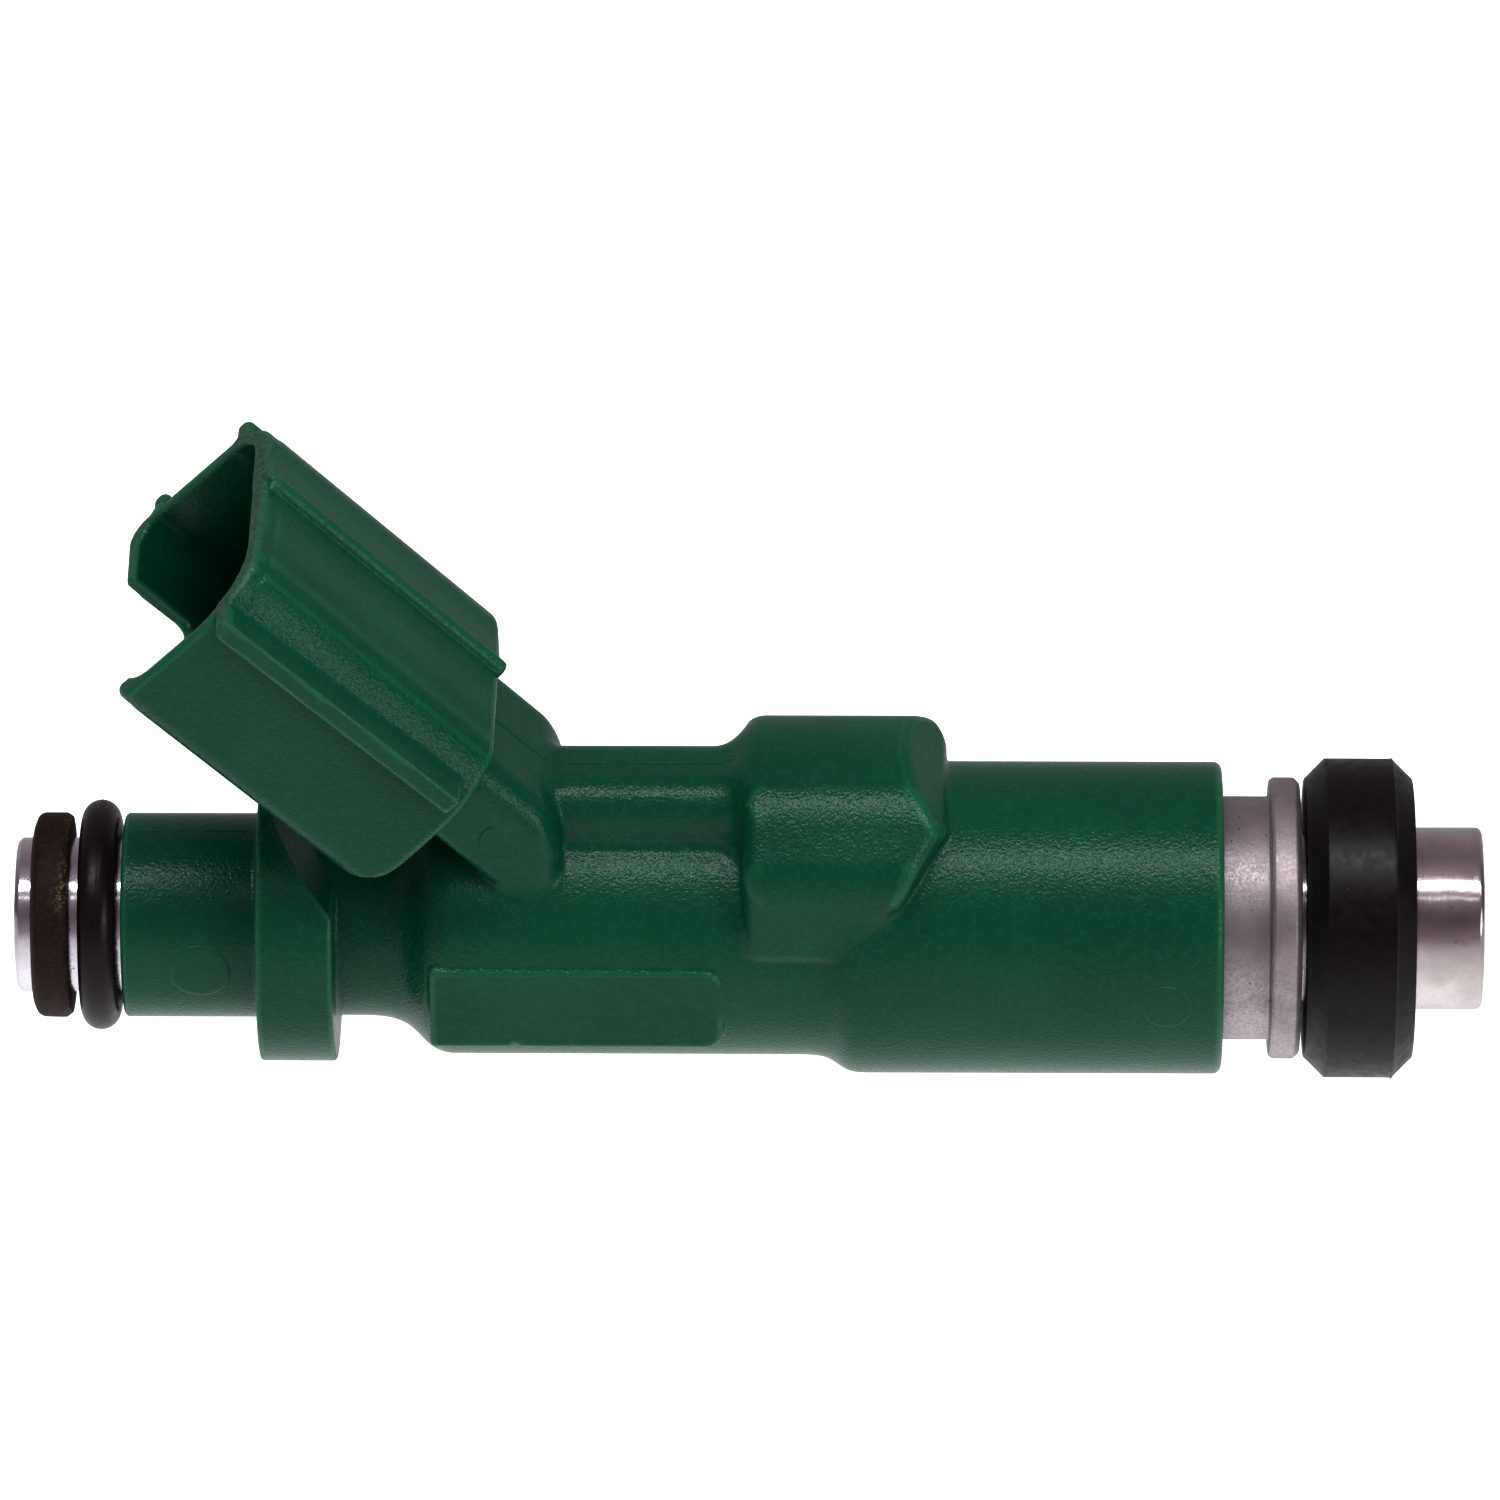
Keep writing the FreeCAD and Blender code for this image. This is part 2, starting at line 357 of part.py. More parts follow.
def long_edge(e, mid, y_sign, top, x_lo=-1.0, x_hi=99.0):
    """A long edge of the shroud, on the given side, at its top or bottom."""
    a, b = (local(v.Point) for v in e.Vertexes) if len(e.Vertexes) == 2 else (None, None)
    if a is None or abs(a.y - b.y) > 1e-6 or abs(a.z - b.z) > 1e-6:
        return False
    return a.y * y_sign > 0 and (a.z > 0) == top


def rear_low_edge(e, mid):
    a, b = (local(v.Point) for v in e.Vertexes) if len(e.Vertexes) == 2 else (None, None)
    if a is None:
        return False
    return abs(a.x - S["shLong"]) < 1e-6 and abs(b.x - S["shLong"]) < 1e-6 and a.z < -2 and b.z < -2


shroud_outer = fillet_edges("shroud_rounded", shroud_box, [
    (lambda e, m: long_edge(e, m, -1, True), S["cornerBig"]), (lambda e, m: long_edge(e, m, 1, True), S["cornerBig"]),
    (lambda e, m: long_edge(e, m, -1, False), S["cornerSmall"]), (lambda e, m: long_edge(e, m, 1, False), S["cornerSmall"]),
    (rear_low_edge, S["cornerSmall"])])
shroud_hollow_box = box("shroud_inner", "-1", "-" + ref("shHalf") + " + " + ref("shWall"), "-" + ref("shLow") + " + " + ref("shWall"), ref("shDeep") + " + 1", "2 * " + ref("shHalf") + " - 2 * " + ref("shWall"),
                        ref("shLow") + " + " + ref("shTop") + " - 2 * " + ref("shWall"), tilted=True)
shroud_hollow = fillet_edges("shroud_hollow", shroud_hollow_box, [
    (lambda e, m: long_edge(e, m, -1, True), S["cornerInBig"]), (lambda e, m: long_edge(e, m, 1, True), S["cornerInBig"]),
    (lambda e, m: long_edge(e, m, -1, False), S["cornerInSmall"]), (lambda e, m: long_edge(e, m, 1, False), S["cornerInSmall"])])
mouth_slot = box("shroud_mouth_slot", "-1", "-" + ref("slotY0"), "-" + ref("shLow") + " - 0.5", ref("slotDeep") + " + 1", ref("slotY0") + " + " + ref("slotY1"), "2.2", tilted=True)
top_step = box("shroud_top_step", "0", ref("stepY0"), "0", ref("shLong"), ref("stepY1") + " - " + ref("stepY0"), ref("stepTop"), tilted=True)
rib_near = box("shroud_rib_near", "0", "-" + ref("ribNearOut"), ref("ribNearZ0"), ref("ribLong"), ref("ribNearOut") + " - " + ref("shHalf") + " + 1.6", ref("ribNearZ1") + " - " + ref("ribNearZ0"), tilted=True)
rib_far_a = box("shroud_rib_far_a", "0", ref("shHalf") + " - 1.6", ref("ribFarAZ0"), ref("ribLong"), ref("ribFarOut") + " - " + ref("shHalf") + " + 1.6", ref("ribFarAZ1") + " - " + ref("ribFarAZ0"), tilted=True)
rib_far_b = box("shroud_rib_far_b", "0", ref("shHalf") + " - 0.5", ref("ribFarBZ0"), ref("ribLong"), ref("ribFarBOut") + " - " + ref("shHalf") + " + 0.5", ref("ribFarBZ1") + " - " + ref("ribFarBZ0"), tilted=True)
shroud_solid = combine("Part::MultiFuse", "shroud_solid", [shroud_outer, top_step, rib_near, rib_far_a, rib_far_b])

# connector neck: joins the shroud's back to the body
X1, Z1 = frame_point(14.5, 4.04)
X5, Z5 = frame_point(14.5, -1.55)
neck_right = S["neckRightU"] - ORIGIN
top_cross = S["mouthU"] - ORIGIN + S["mouthZ"] + 4.04 * math.sqrt(2.0)      # x + z of the neck's top line
low_cross = S["mouthU"] - ORIGIN + S["mouthZ"] - 1.55 * math.sqrt(2.0)      # x + z of its lower line
neck_block = outline_block("connector_neck", "XZ", [(X1, Z1), (neck_right, top_cross - neck_right), (neck_right, 3.4), (low_cross - 3.4, 3.4), (X5, Z5)], S["neckHalf"], S["neckHalf"])
neck_block.setExpression("LengthFwd", ref("neckHalf"))
neck_block.setExpression("LengthRev", ref("neckHalf"))

# rail over the terminals, with rounded top edges
rail_box = box("rail_box", ref("railU0") + " - " + ref("originU"), "-" + ref("railHalf"), "0", ref("railU1") + " - " + ref("railU0"), "2 * " + ref("railHalf"), ref("railTop"))
rail = fillet_edges("rail", rail_box, [(lambda e, m: len(e.Vertexes) == 2 and abs(e.Vertexes[0].Point.y - e.Vertexes[1].Point.y) < 1e-6 and abs(m.z - S["railTop"]) < 1e-6, S["railRound"])])

# hump over the coil's terminals: its cross-section, cut to its side outline
H = S
hump_section = outline_block("hump_section", "YZ", [(-H["humpTopHalf"] * 0.5, H["humpTop"]), (H["humpTopHalf"] * 0.5, H["humpTop"]), (H["humpTopHalf"], H["humpTopEdgeZ"]), (H["humpHalf"], H["humpSideZ"]), (H["humpHalf"], H["humpLowZ"]),
                                                    (3.0, 0.5), (-3.0, 0.5), (-H["humpHalf"], H["humpLowZ"]), (-H["humpHalf"], H["humpSideZ"]), (-H["humpTopHalf"], H["humpTopEdgeZ"])], 0.0, S["humpU2"] + 0.2 - S["humpU0"])
hump_section.setExpression("LengthFwd", ref("humpU2") + " - " + ref("humpU0") + " + 0.2")
hump_section.setExpression("Placement.Base.x", ref("humpU0") + " - " + ref("originU"))
o = ORIGIN
hump_side = outline_block("hump_side", "XZ", [(H["humpU0"] - o, 0.0), (H["humpU0"] - o, 9.9), (H["humpU0"] + 0.7 - o, 11.0), (H["humpU1"] - o, 11.0), (H["humpU1"] + 0.4 - o, 10.4), (H["humpU2"] - o, 8.1), (H["humpU2"] - o, 7.2), (H["humpLowU"] - o, 2.15), (H["humpLowU"] - o, 0.0)], 9.0, 9.0)
hump = combine("Part::MultiCommon", "hump", [hump_section, hump_side])

# flat pads on the two sides of the middle body
pads = box("side_pads", ref("padU0") + " - " + ref("originU"), "-" + ref("padY"), ref("padZ0"), ref("padU1") + " - " + ref("padU0"), "2 * " + ref("padY"), ref("padZ1") + " - " + ref("padZ0"))

solid_all = combine("Part::MultiFuse", "overmould_outside", [shell_cut, tube_core, shroud_solid, neck_block, rail, hump, pads])

# everything that the moulding is shot round
cavity = turned("overmould_cavity", [("zero", "zero"), ("zero", "coreR"), ("coreStepU", "coreR"), ("coreStepU", "coreLowR"), ("washerU0", "coreLowR"), ("washerU0", "yokeR"), ("yokeFlangeU", "yokeR"), ("yokeFlangeU", "zero")])
tower_room = box("tower_room", ref("bobU0") + " - " + ref("originU"), "-" + ref("towerHalf"), ref("towerZ0"),
                 ref("towerEndU") + " - " + ref("bobU0"), "2 * " + ref("towerHalf"), ref("towerZ1") + " - " + ref("towerZ0"))
inside = combine("Part::MultiFuse", "overmould_inside", [cavity, tower_room, shroud_hollow, mouth_slot, parts["terminal_near"], parts["terminal_far"]])
parts["overmould_body"] = cut("overmould_body", solid_all, inside)

# ------------------------------------------------------------------ check and write
doc.recompute()
bad = [o_.Name + ": " + ", ".join(o_.State) for o_ in doc.Objects if "Invalid" in o_.State or "Error" in o_.State]
if bad:
    raise RuntimeError("failed objects: " + "; ".join(bad))
for name, obj in parts.items():
    obj.Label = name
    shape = obj.Shape
    if shape.isNull() or not shape.isValid():
        raise RuntimeError(name + " has a null or invalid shape")
    if len(shape.Solids) != 1:
        raise RuntimeError("%s has %d solids" % (name, len(shape.Solids)))
for name, obj in sorted(parts.items()):
    obj.Shape.exportStep("parts/" + name + ".step")
    b = obj.Shape.BoundBox
    print("%-16s vol %9.3f  x %.2f..%.2f  y %.2f..%.2f  z %.2f..%.2f" % (name, obj.Shape.Volume, b.XMin, b.XMax, b.YMin, b.YMax, b.ZMin, b.ZMax))
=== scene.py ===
import bpy
import math
import numpy as np
from mathutils import Matrix, Vector, noise


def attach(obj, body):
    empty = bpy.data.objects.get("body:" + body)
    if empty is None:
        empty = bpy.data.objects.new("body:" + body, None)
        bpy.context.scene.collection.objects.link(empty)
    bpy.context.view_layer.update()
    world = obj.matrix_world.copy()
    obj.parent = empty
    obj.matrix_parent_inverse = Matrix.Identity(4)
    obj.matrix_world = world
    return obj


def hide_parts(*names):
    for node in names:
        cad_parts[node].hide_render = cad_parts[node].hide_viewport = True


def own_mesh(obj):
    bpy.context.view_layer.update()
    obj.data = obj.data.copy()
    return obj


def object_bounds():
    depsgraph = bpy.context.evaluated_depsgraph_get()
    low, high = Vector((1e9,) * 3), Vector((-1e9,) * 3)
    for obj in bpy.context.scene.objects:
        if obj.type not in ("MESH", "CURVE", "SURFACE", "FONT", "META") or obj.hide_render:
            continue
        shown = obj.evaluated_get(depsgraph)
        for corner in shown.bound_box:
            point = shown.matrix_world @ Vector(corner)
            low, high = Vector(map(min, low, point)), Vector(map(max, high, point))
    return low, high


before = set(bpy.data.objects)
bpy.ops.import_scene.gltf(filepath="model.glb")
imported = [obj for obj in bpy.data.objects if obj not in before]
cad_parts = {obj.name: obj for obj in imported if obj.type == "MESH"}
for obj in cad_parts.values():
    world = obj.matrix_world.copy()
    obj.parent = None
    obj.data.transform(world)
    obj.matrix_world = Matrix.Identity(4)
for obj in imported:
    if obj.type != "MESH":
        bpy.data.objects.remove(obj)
CAD_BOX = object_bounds()
MM = 0.001
O = 68.93                      # station of the frame's origin: u = x + O, in millimetres from the inlet tip
R2 = math.sqrt(2.0)
MAIN = "injector"

# ------------------------------------------------------------------ round unions and intersections of distances


def union(a, b, r):
    """Union with a concave fillet of radius r."""
    p, q = np.maximum(r - a, 0), np.maximum(r - b, 0)
    return np.maximum(r, np.minimum(a, b)) - np.sqrt(p * p + q * q)


def both(a, b, r):
    """Intersection with a convex rounding of radius r."""
    p, q = np.maximum(r + a, 0), np.maximum(r + b, 0)
    return np.minimum(-r, np.maximum(a, b)) + np.sqrt(p * p + q * q)


def less(a, b, r):
    """a with b taken away, edges rounded by r."""
    return both(a, -b, r)


def round_rect(p, q, hp, hq, r_pp, r_pn, r_np, r_nn):
    """Distance to a rectangle with its own radius at each corner: signs of p and q pick it."""
    r = np.where(p > 0, np.where(q > 0, r_pp, r_pn), np.where(q > 0, r_np, r_nn))
    a, b = np.abs(p) - hp + r, np.abs(q) - hq + r
    return np.minimum(np.maximum(a, b), 0) + np.hypot(np.maximum(a, 0), np.maximum(b, 0)) - r


# the turned outline's radius by station: neck, swept shoulder, middle, second shoulder, large end
PROFILE = [(10.0, 5.15), (18.3, 5.15), (19.2, 5.24), (19.95, 5.50), (20.5, 5.92), (20.9, 6.36), (21.3, 6.76), (21.7, 6.95), (22.2, 7.09), (40.4, 7.1),
           (41.2, 7.14), (41.7, 7.25), (42.05, 7.46), (42.4, 7.74), (42.76, 7.94), (43.3, 8.03), (64.0, 8.03)]


def smooth_table(points, step=0.02, blur=0.22):
    u = np.arange(points[0][0], points[-1][0], step)
    r = np.interp(u, [p[0] for p in points], [p[1] for p in points])
    k = np.exp(-0.5 * (np.arange(-60, 61) * step / blur) ** 2)
    k /= k.sum()
    r = np.convolve(np.pad(r, 60, mode="edge"), k, mode="valid")
    slope = np.gradient(r, step)
    return u, r, 1.0 / np.sqrt(1.0 + slope * slope)


TU, TR, TG = smooth_table(PROFILE)


def shroud_parts(x, y, z):
    s = (x + 59.39 - (z - 21.89)) / R2
    b = (x + 59.39 + (z - 21.89)) / R2
    return s, b


def shroud_outer(s, y, b):
    """The socket's outside, with its keying ribs."""
    low = -5.187 - 0.0217 * y + 0.020 * np.clip(s, 0, 17)
    sec = round_rect(y - 0.31, b - (5.45 + low) / 2, 8.04, (5.45 - low) / 2, 3.15, 1.5, 4.5, 1.2)
    sec = both(sec, 0.998 * (b - 5.45) - 0.06 * (y - 1.9), 0.3)
    sec = sec + 0.05 * (1 - smoothstep(0.75, 1.25, s))
    d = both(sec, -s, 0.3)
    d = both(d, s - 16.62 + 0.03 * b + 0.045 * (y - 1.95), 0.4)
    d = np.maximum(d, both(s - 17.0, low - b, 2.8))
    # raised step along the top, leaning away, with a bead on its near edge
    step = both(0.993 * (b - 5.69) + 0.10 * (y - 1.9), y - 6.0, 0.45)
    step = np.maximum(both(step, 1.75 - y, 0.1), 3.6 - b)
    step = both(both(step, -s, 0.3), s - 16.66, 0.85)
    d = union(d, step, 0.12)
    bead = both(both(np.hypot(y - 1.78, b - 5.32) - 0.53, 0.25 - s, 0.3), s - 16.55, 0.15)
    d = union(d, bead, 0.12)
    # near rib, square; far ribs, rounder
    near = both(both(np.abs(b - 2.66 - 0.027 * s) - 0.54, -9.06 - y, 0.13), -s, 0.45)
    near = both(np.maximum(near, y + 6.0), s - 15.85, 0.2)
    d = union(d, near, 0.13)
    far_a = both(both(np.abs(b - 3.10) - 0.5, y - 9.52, 0.4), np.abs(s - 8.0) - 7.98, 0.35)
    d = union(d, np.maximum(far_a, 5.6 - y), 0.3)
    far_b = both(both(np.abs(b + 3.12) - 0.5, y - 9.48, 0.4), np.abs(s - 8.0) - 7.98, 0.35)
    return union(d, np.maximum(far_b, 7.0 - y), 0.3)


def shroud_hollow(s, y, b):
    d = round_rect(y - 0.275, b + 0.10, 7.325, 4.40, 2.3, 1.5, 3.7, 2.0)
    return both(d, s - 13.2, 0.3)


def overmould(x, y, z):
    """Distance in millimetres to the green moulding."""
    u = x + O
    rho = np.hypot(y, z)
    ay = np.abs(y)
    s, b = shroud_parts(x, y, z)
    # turned stretches
    body = (rho - np.interp(u, TU, TR)) * np.interp(u, TU, TG)
    body = both(body, u - 61.9, 0.42)
    body = np.maximum(body, 14.0 - u)
    tube = np.maximum(both(rho - 5.25, 5.51 - u, 0.26), u - 15.0)
    collar = both(both(rho - 7.50, np.abs(u - 14.47) - 1.96, 0.2), b + 7.7, 0.1)
    d = union(np.minimum(tube, body), collar, 0.28)
    # flat pads on both sides, corners cut at the nozzle end
    dz, du = np.abs(z + 0.9) - 2.43, np.abs(u - 28.87) - 7.53
    pad = both(both(ay - 7.2, dz, 0.36), du, 0.36)
    pad = both(pad, (u - 36.4 + dz + 0.62) / R2, 0.3)
    notch = (np.abs(u - 25.7) + (z + 3.33) * 1.05 - 0.42) / 1.45
    pad = less(pad, notch, 0.06)
    d = union(d, pad, 0.08)
    # rail over the terminals
    a, c = ay - 0.94, z - 7.48
    rail = np.hypot(np.maximum(a, 0), np.maximum(c, 0)) + np.minimum(np.maximum(a, c), 0) - 2.06
    rail = np.maximum(np.maximum(rail, np.abs(u - 33.0) - 6.6), 0.5 - z)
    # hump over the coil's terminals
    arc = rho - 10.74
    flank = 0.713 * (ay - 4.02) + 0.701 * (z - 9.95)
    hump = both(both(arc, flank, 0.45), ay - 7.05, 0.9)
    hump = both(hump, 37.4 - u, 1.1)
    hump = both(hump, 0.62 * (ay - 4.6) + 0.785 * (u - 47.55), 0.5)
    hump = both(hump, 0.766 * (u - 45.95) + 0.643 * (z - 10.5), 0.4)
    hump = both(hump, 0.724 * (u - 42.8) - 0.69 * (z - 2.15), 1.1)
    hump = both(hump, 2.15 - z, 0.4)
    rh = union(rail, hump, 1.6)
    # block that carries the socket
    neck = both(both(ay - 5.1, b - 3.92, 1.7), -1.05 - b, 0.7)
    neck = np.maximum(both(neck, u - 28.05, 1.1), 13.5 - s)
    rh = union(rh, neck, 0.5)
    d = union(d, rh, 0.42)
    # socket
    d = union(d, shroud_outer(s, y, b), 0.4)
    d = less(d, shroud_hollow(s, y, b), 0.13)
    slot = both(round_rect(y + 1.45, s - 0.2, 4.75, 3.85, 0.6, 0.4, 0.6, 0.4), np.abs(b + 5.3) - 1.6, 0.05)
    d = less(d, slot, 0.16)
    # bores at both ends, where the core and the housing come out
    d = less(d, np.maximum(rho - 3.975, u - 8.2), 0.08)
    return less(d, np.maximum(rho - 6.265, 59.4 - u), 0.08)


def in_chunks(fn, p, size=300000):
    out = np.empty(len(p))
    for i in range(0, len(p), size):
        q = p[i:i + size]
        out[i:i + size] = fn(q[:, 0], q[:, 1], q[:, 2])
    return out


def gradient(fn, p, e=0.02):
    g = np.empty_like(p)
    for k in range(3):
        d = np.zeros(3)
        d[k] = e
        g[:, k] = in_chunks(fn, p + d) - in_chunks(fn, p - d)
    return g / np.maximum(np.linalg.norm(g, axis=1, keepdims=True), 1e-9)


def contour(fn, lo, hi, h):
    """Dual contouring of a distance: one vertex per crossed cell, placed on the surface and its edges, joined in quads."""
    K = 4
    n = [int(math.ceil((hi[i] - lo[i]) / h / K)) * K for i in range(3)]
    lo = np.array(lo, float)
    m = [k // K for k in n]
    ci = np.stack(np.meshgrid(*[np.arange(k) for k in m], indexing="ij"), -1).reshape(-1, 3)
    dc = in_chunks(fn, lo + h * (ci * K + (K - 1) / 2.0))
    D = np.repeat(np.repeat(np.repeat(np.where(dc < 0, -9.0, 9.0).reshape(m), K, 0), K, 1), K, 2)
    near = ci[np.abs(dc) < h * (K + 1) * 0.87 * 1.25]
    off = np.stack(np.meshgrid(*[np.arange(K)] * 3, indexing="ij"), -1).reshape(-1, 3)
    idx = (near[:, None, :] * K + off[None]).reshape(-1, 3)
    D[idx[:, 0], idx[:, 1], idx[:, 2]] = in_chunks(fn, lo + h * idx)
    inside = D < 0
    pts, cells, flips = [], [], []
    for a in range(3):
        f0 = [slice(None)] * 3
        f1 = [slice(None)] * 3
        f0[a], f1[a] = slice(0, -1), slice(1, None)
        e = np.argwhere(inside[tuple(f0)] != inside[tuple(f1)])
        b_, c_ = (a + 1) % 3, (a + 2) % 3
        e = e[(e[:, b_] > 0) & (e[:, c_] > 0)]
        e1 = e.copy()
        e1[:, a] += 1
        d0, d1 = D[e[:, 0], e[:, 1], e[:, 2]], D[e1[:, 0], e1[:, 1], e1[:, 2]]
        t = d0 / (d0 - d1)
        p = lo + h * e.astype(float)
        p[:, a] += h * t
        quad = []
        for ob, oc in ((-1, -1), (0, -1), (0, 0), (-1, 0)):
            q = e.copy()
            q[:, b_] += ob
            q[:, c_] += oc
            quad.append((q[:, 0] * n[1] + q[:, 1]) * n[2] + q[:, 2])
        pts.append(p)
        cells.append(np.stack(quad, 1))
        flips.append(d0 >= 0)
    P, C, F = np.concatenate(pts), np.concatenate(cells), np.concatenate(flips)
    N = gradient(fn, P)
    ids, inv = np.unique(C.ravel(), return_inverse=True)
    inv = inv.reshape(C.shape)
    flat, k = inv.ravel(), len(ids)
    w = lambda v: np.bincount(flat, weights=np.repeat(v, 4), minlength=k)
    cnt = w(np.ones(len(P)))
    mass = np.stack([w(P[:, i]) for i in range(3)], 1) / cnt[:, None]
    A = np.zeros((k, 3, 3))
    for i in range(3):
        for j in range(i, 3):
            A[:, i, j] = A[:, j, i] = w(N[:, i] * N[:, j])
    dist = (N * P).sum(1)
    B = np.stack([w(N[:, i] * dist) for i in range(3)], 1) - np.einsum("nij,nj->ni", A, mass)
    A += np.eye(3) * 0.04
    V = mass + np.linalg.solve(A, B[..., None])[..., 0]
    ijk = np.stack([ids // (n[1] * n[2]), ids // n[2] % n[1], ids % n[2]], 1)
    c0 = lo + h * ijk
    V = np.clip(V, c0 - 0.15 * h, c0 + 1.15 * h)
    for _ in range(2):
        V -= in_chunks(fn, V)[:, None] * gradient(fn, V) * 0.95
    quads = np.where(F[:, None], inv[:, ::-1], inv)
    return V, quads


def make_mesh(name, verts, faces, normals=None, smooth=True):
    me = bpy.data.meshes.new(name)
    me.from_pydata((np.asarray(verts) * MM).tolist(), [], faces.tolist() if hasattr(faces, "tolist") else faces)
    me.validate(clean_customdata=False)
    me.polygons.foreach_set("use_smooth", [smooth] * len(me.polygons))
    me.update()
    if normals is not None and len(normals) == len(me.vertices):
        me.normals_split_custom_set_from_vertices([tuple(v) for v in normals])
    ob = bpy.data.objects.new(name, me)
    bpy.context.scene.collection.objects.link(ob)
    return ob


def paint(ob, name, values):
    at = ob.data.attributes.new(name, "FLOAT", "POINT")
    at.data.foreach_set("value", np.asarray(values, np.float32))


def smoothstep(a, b, v):
    t = np.clip((v - a) / (b - a), 0, 1)
    return t * t * (3 - 2 * t)


def wobble(p, scale, seed=0.0):
    """Smooth noise at points in millimetres, about -1 to 1."""
    return np.array([noise.noise(Vector((float(a) * scale + seed, float(b) * scale - seed, float(c) * scale + 2 * seed))) for a, b, c in p])


# ------------------------------------------------------------------ camera, light, floor
PHI = math.radians(34.3)
back = Vector((0, -math.cos(PHI), math.sin(PHI)))
cam_data = bpy.data.cameras.new("camera")
cam = bpy.data.objects.new("camera", cam_data)
bpy.context.scene.collection.objects.link(cam)
cam.location = (Vector((-24.02, 4.83, 7.07)) + back * 618.0) * MM
aim = Vector((-31.29, 4.83, 7.07)) * MM
look = (aim - cam.location).to_track_quat("-Z", "Y").to_matrix()
cam.rotation_euler = (look @ Matrix.Rotation(math.radians(-0.30), 3, "Z")).to_euler()
cam_data.lens = 288.0
cam_data.sensor_width = 36.0
cam_data.clip_start, cam_data.clip_end = 0.01, 20.0
cam_data.dof.use_dof = False
bpy.context.scene.camera = cam
bpy.context.scene.view_settings.view_transform = "Standard"
bpy.context.scene.view_settings.look = "None"
bpy.context.scene.view_settings.gamma = 0.8


def area_light(name, elevation, distance, long, wide, radiance, centre=(-31.0, 0, 0), colour=(1, 1, 1), azimuth=0.0):
    """A flat soft light over the object: elevation is measured from the front, over the top."""
    e, a = math.radians(elevation), math.radians(azimuth)
    d = Vector((math.sin(a) * math.cos(e), -math.cos(a) * math.cos(e), math.sin(e)))
    data = bpy.data.lights.new(name, "AREA")
    data.shape = "RECTANGLE"
    data.size, data.size_y = long, wide
    data.energy = radiance * math.pi * long * wide
    data.color = colour
    ob = bpy.data.objects.new(name, data)
    bpy.context.scene.collection.objects.link(ob)
    ob.location = Vector(centre) * MM + d * distance
    ob.rotation_euler = d.to_track_quat("Z", "X" if abs(e) > 9 else "Y").to_euler()
    z = d.normalized()
    x = Vector((1, 0, 0)) - z * z.x
    x.normalize()
    y = z.cross(x)
    ob.rotation_euler = Matrix((x, y, z)).transposed().to_euler()
    return ob


area_light("softbox", 77.0, 0.30, 0.56, 0.046, 7.2)
area_light("strip", 60.0, 0.30, 0.26, 0.016, 1.3)



def side_light(name, direction, distance, wide, high, radiance, centre=(-40.0, 0, 8.0)):
    d = Vector(direction).normalized()
    data = bpy.data.lights.new(name, "AREA")
    data.shape, data.size, data.size_y = "RECTANGLE", wide, high
    data.energy = radiance * math.pi * wide * high
    ob = bpy.data.objects.new(name, data)
    bpy.context.scene.collection.objects.link(ob)
    ob.location = Vector(centre) * MM + d * distance
    x = Vector((0, 0, 1)).cross(d).normalized()
    ob.rotation_euler = Matrix((x, d.cross(x), d)).transposed().to_euler()
    return ob


side_light("side_panel", (0.81, -0.53, 0.25), 0.7, 0.30, 0.24, 2.6)

world = bpy.data.worlds.new("tent")
bpy.context.scene.world = world
world.use_nodes = True
wt = world.node_tree
wt.nodes.clear()
w_out = wt.nodes.new("ShaderNodeOutputWorld")
w_coord = wt.nodes.new("ShaderNodeTexCoord")
w_sep = wt.nodes.new("ShaderNodeSeparateXYZ")
wt.links.new(w_coord.outputs["Generated"], w_sep.inputs[0])


def wmath(op, a, b=None):
    n = wt.nodes.new("ShaderNodeMath")
    n.operation = op
    for i, v in enumerate((a, b)):
        if v is None:
            continue
        if isinstance(v, (int, float)):
            n.inputs[i].default_value = v
        else:
            wt.links.new(v, n.inputs[i])
    return n.outputs[0]


turn = wmath("ARCTAN2", w_sep.outputs["Z"], wmath("MULTIPLY", w_sep.outputs["Y"], -1.0))
ramp_in = wmath("MULTIPLY_ADD", turn, 1 / (2 * math.pi))
ramp_in.node.inputs[2].default_value = 0.5
w_ramp = wt.nodes.new("ShaderNodeValToRGB")
wt.links.new(ramp_in, w_ramp.inputs[0])
SKY = [(-180, .32), (-166, .36), (-156, .50), (-146, .72), (-130, .92), (-110, 1.0), (-94, 1.06), (-77, 1.08), (-59, 1.0), (-43, .90), (-29, .82), (-16, .75), (-4, .62), (5, .34), (9, .29), (19, .22),
       (30, .15), (42, .16), (53, .24), (66, .28), (84, .30), (95, .28), (104, .24), (117, .18), (133, .22), (152, .27), (180, .32)]
el = w_ramp.color_ramp.elements
for i, (deg, v) in enumerate(SKY):
    pos = (deg + 180) / 360.0
    if i == 0:
        e0 = el[0]
        e0.position = 0.0
    elif i == len(SKY) - 1:
        e0 = el[len(el) - 1]
        e0.position = 1.0
    else:
        e0 = el.new(pos)
    warm = max(0.0, min(1.0, (deg + 30) / 45.0)) if deg < 150 else max(0.0, (180 - deg) / 30.0)
    e0.color = (v * (1 + 0.10 * warm), v * (1 - 0.10 * warm), v * (1 - 0.02 * warm), 1)
x4 = wmath("POWER", wmath("ABSOLUTE", w_sep.outputs["X"]), 4.0)
ends = wmath("MULTIPLY_ADD", x4, -0.6)
ends.node.inputs[2].default_value = 1.0
w_mul = wt.nodes.new("ShaderNodeMix")
w_mul.data_type = "RGBA"
w_mul.blend_type = "MULTIPLY"
w_mul.inputs["Factor"].default_value = 1.0
wt.links.new(w_ramp.outputs["Color"], w_mul.inputs[6])
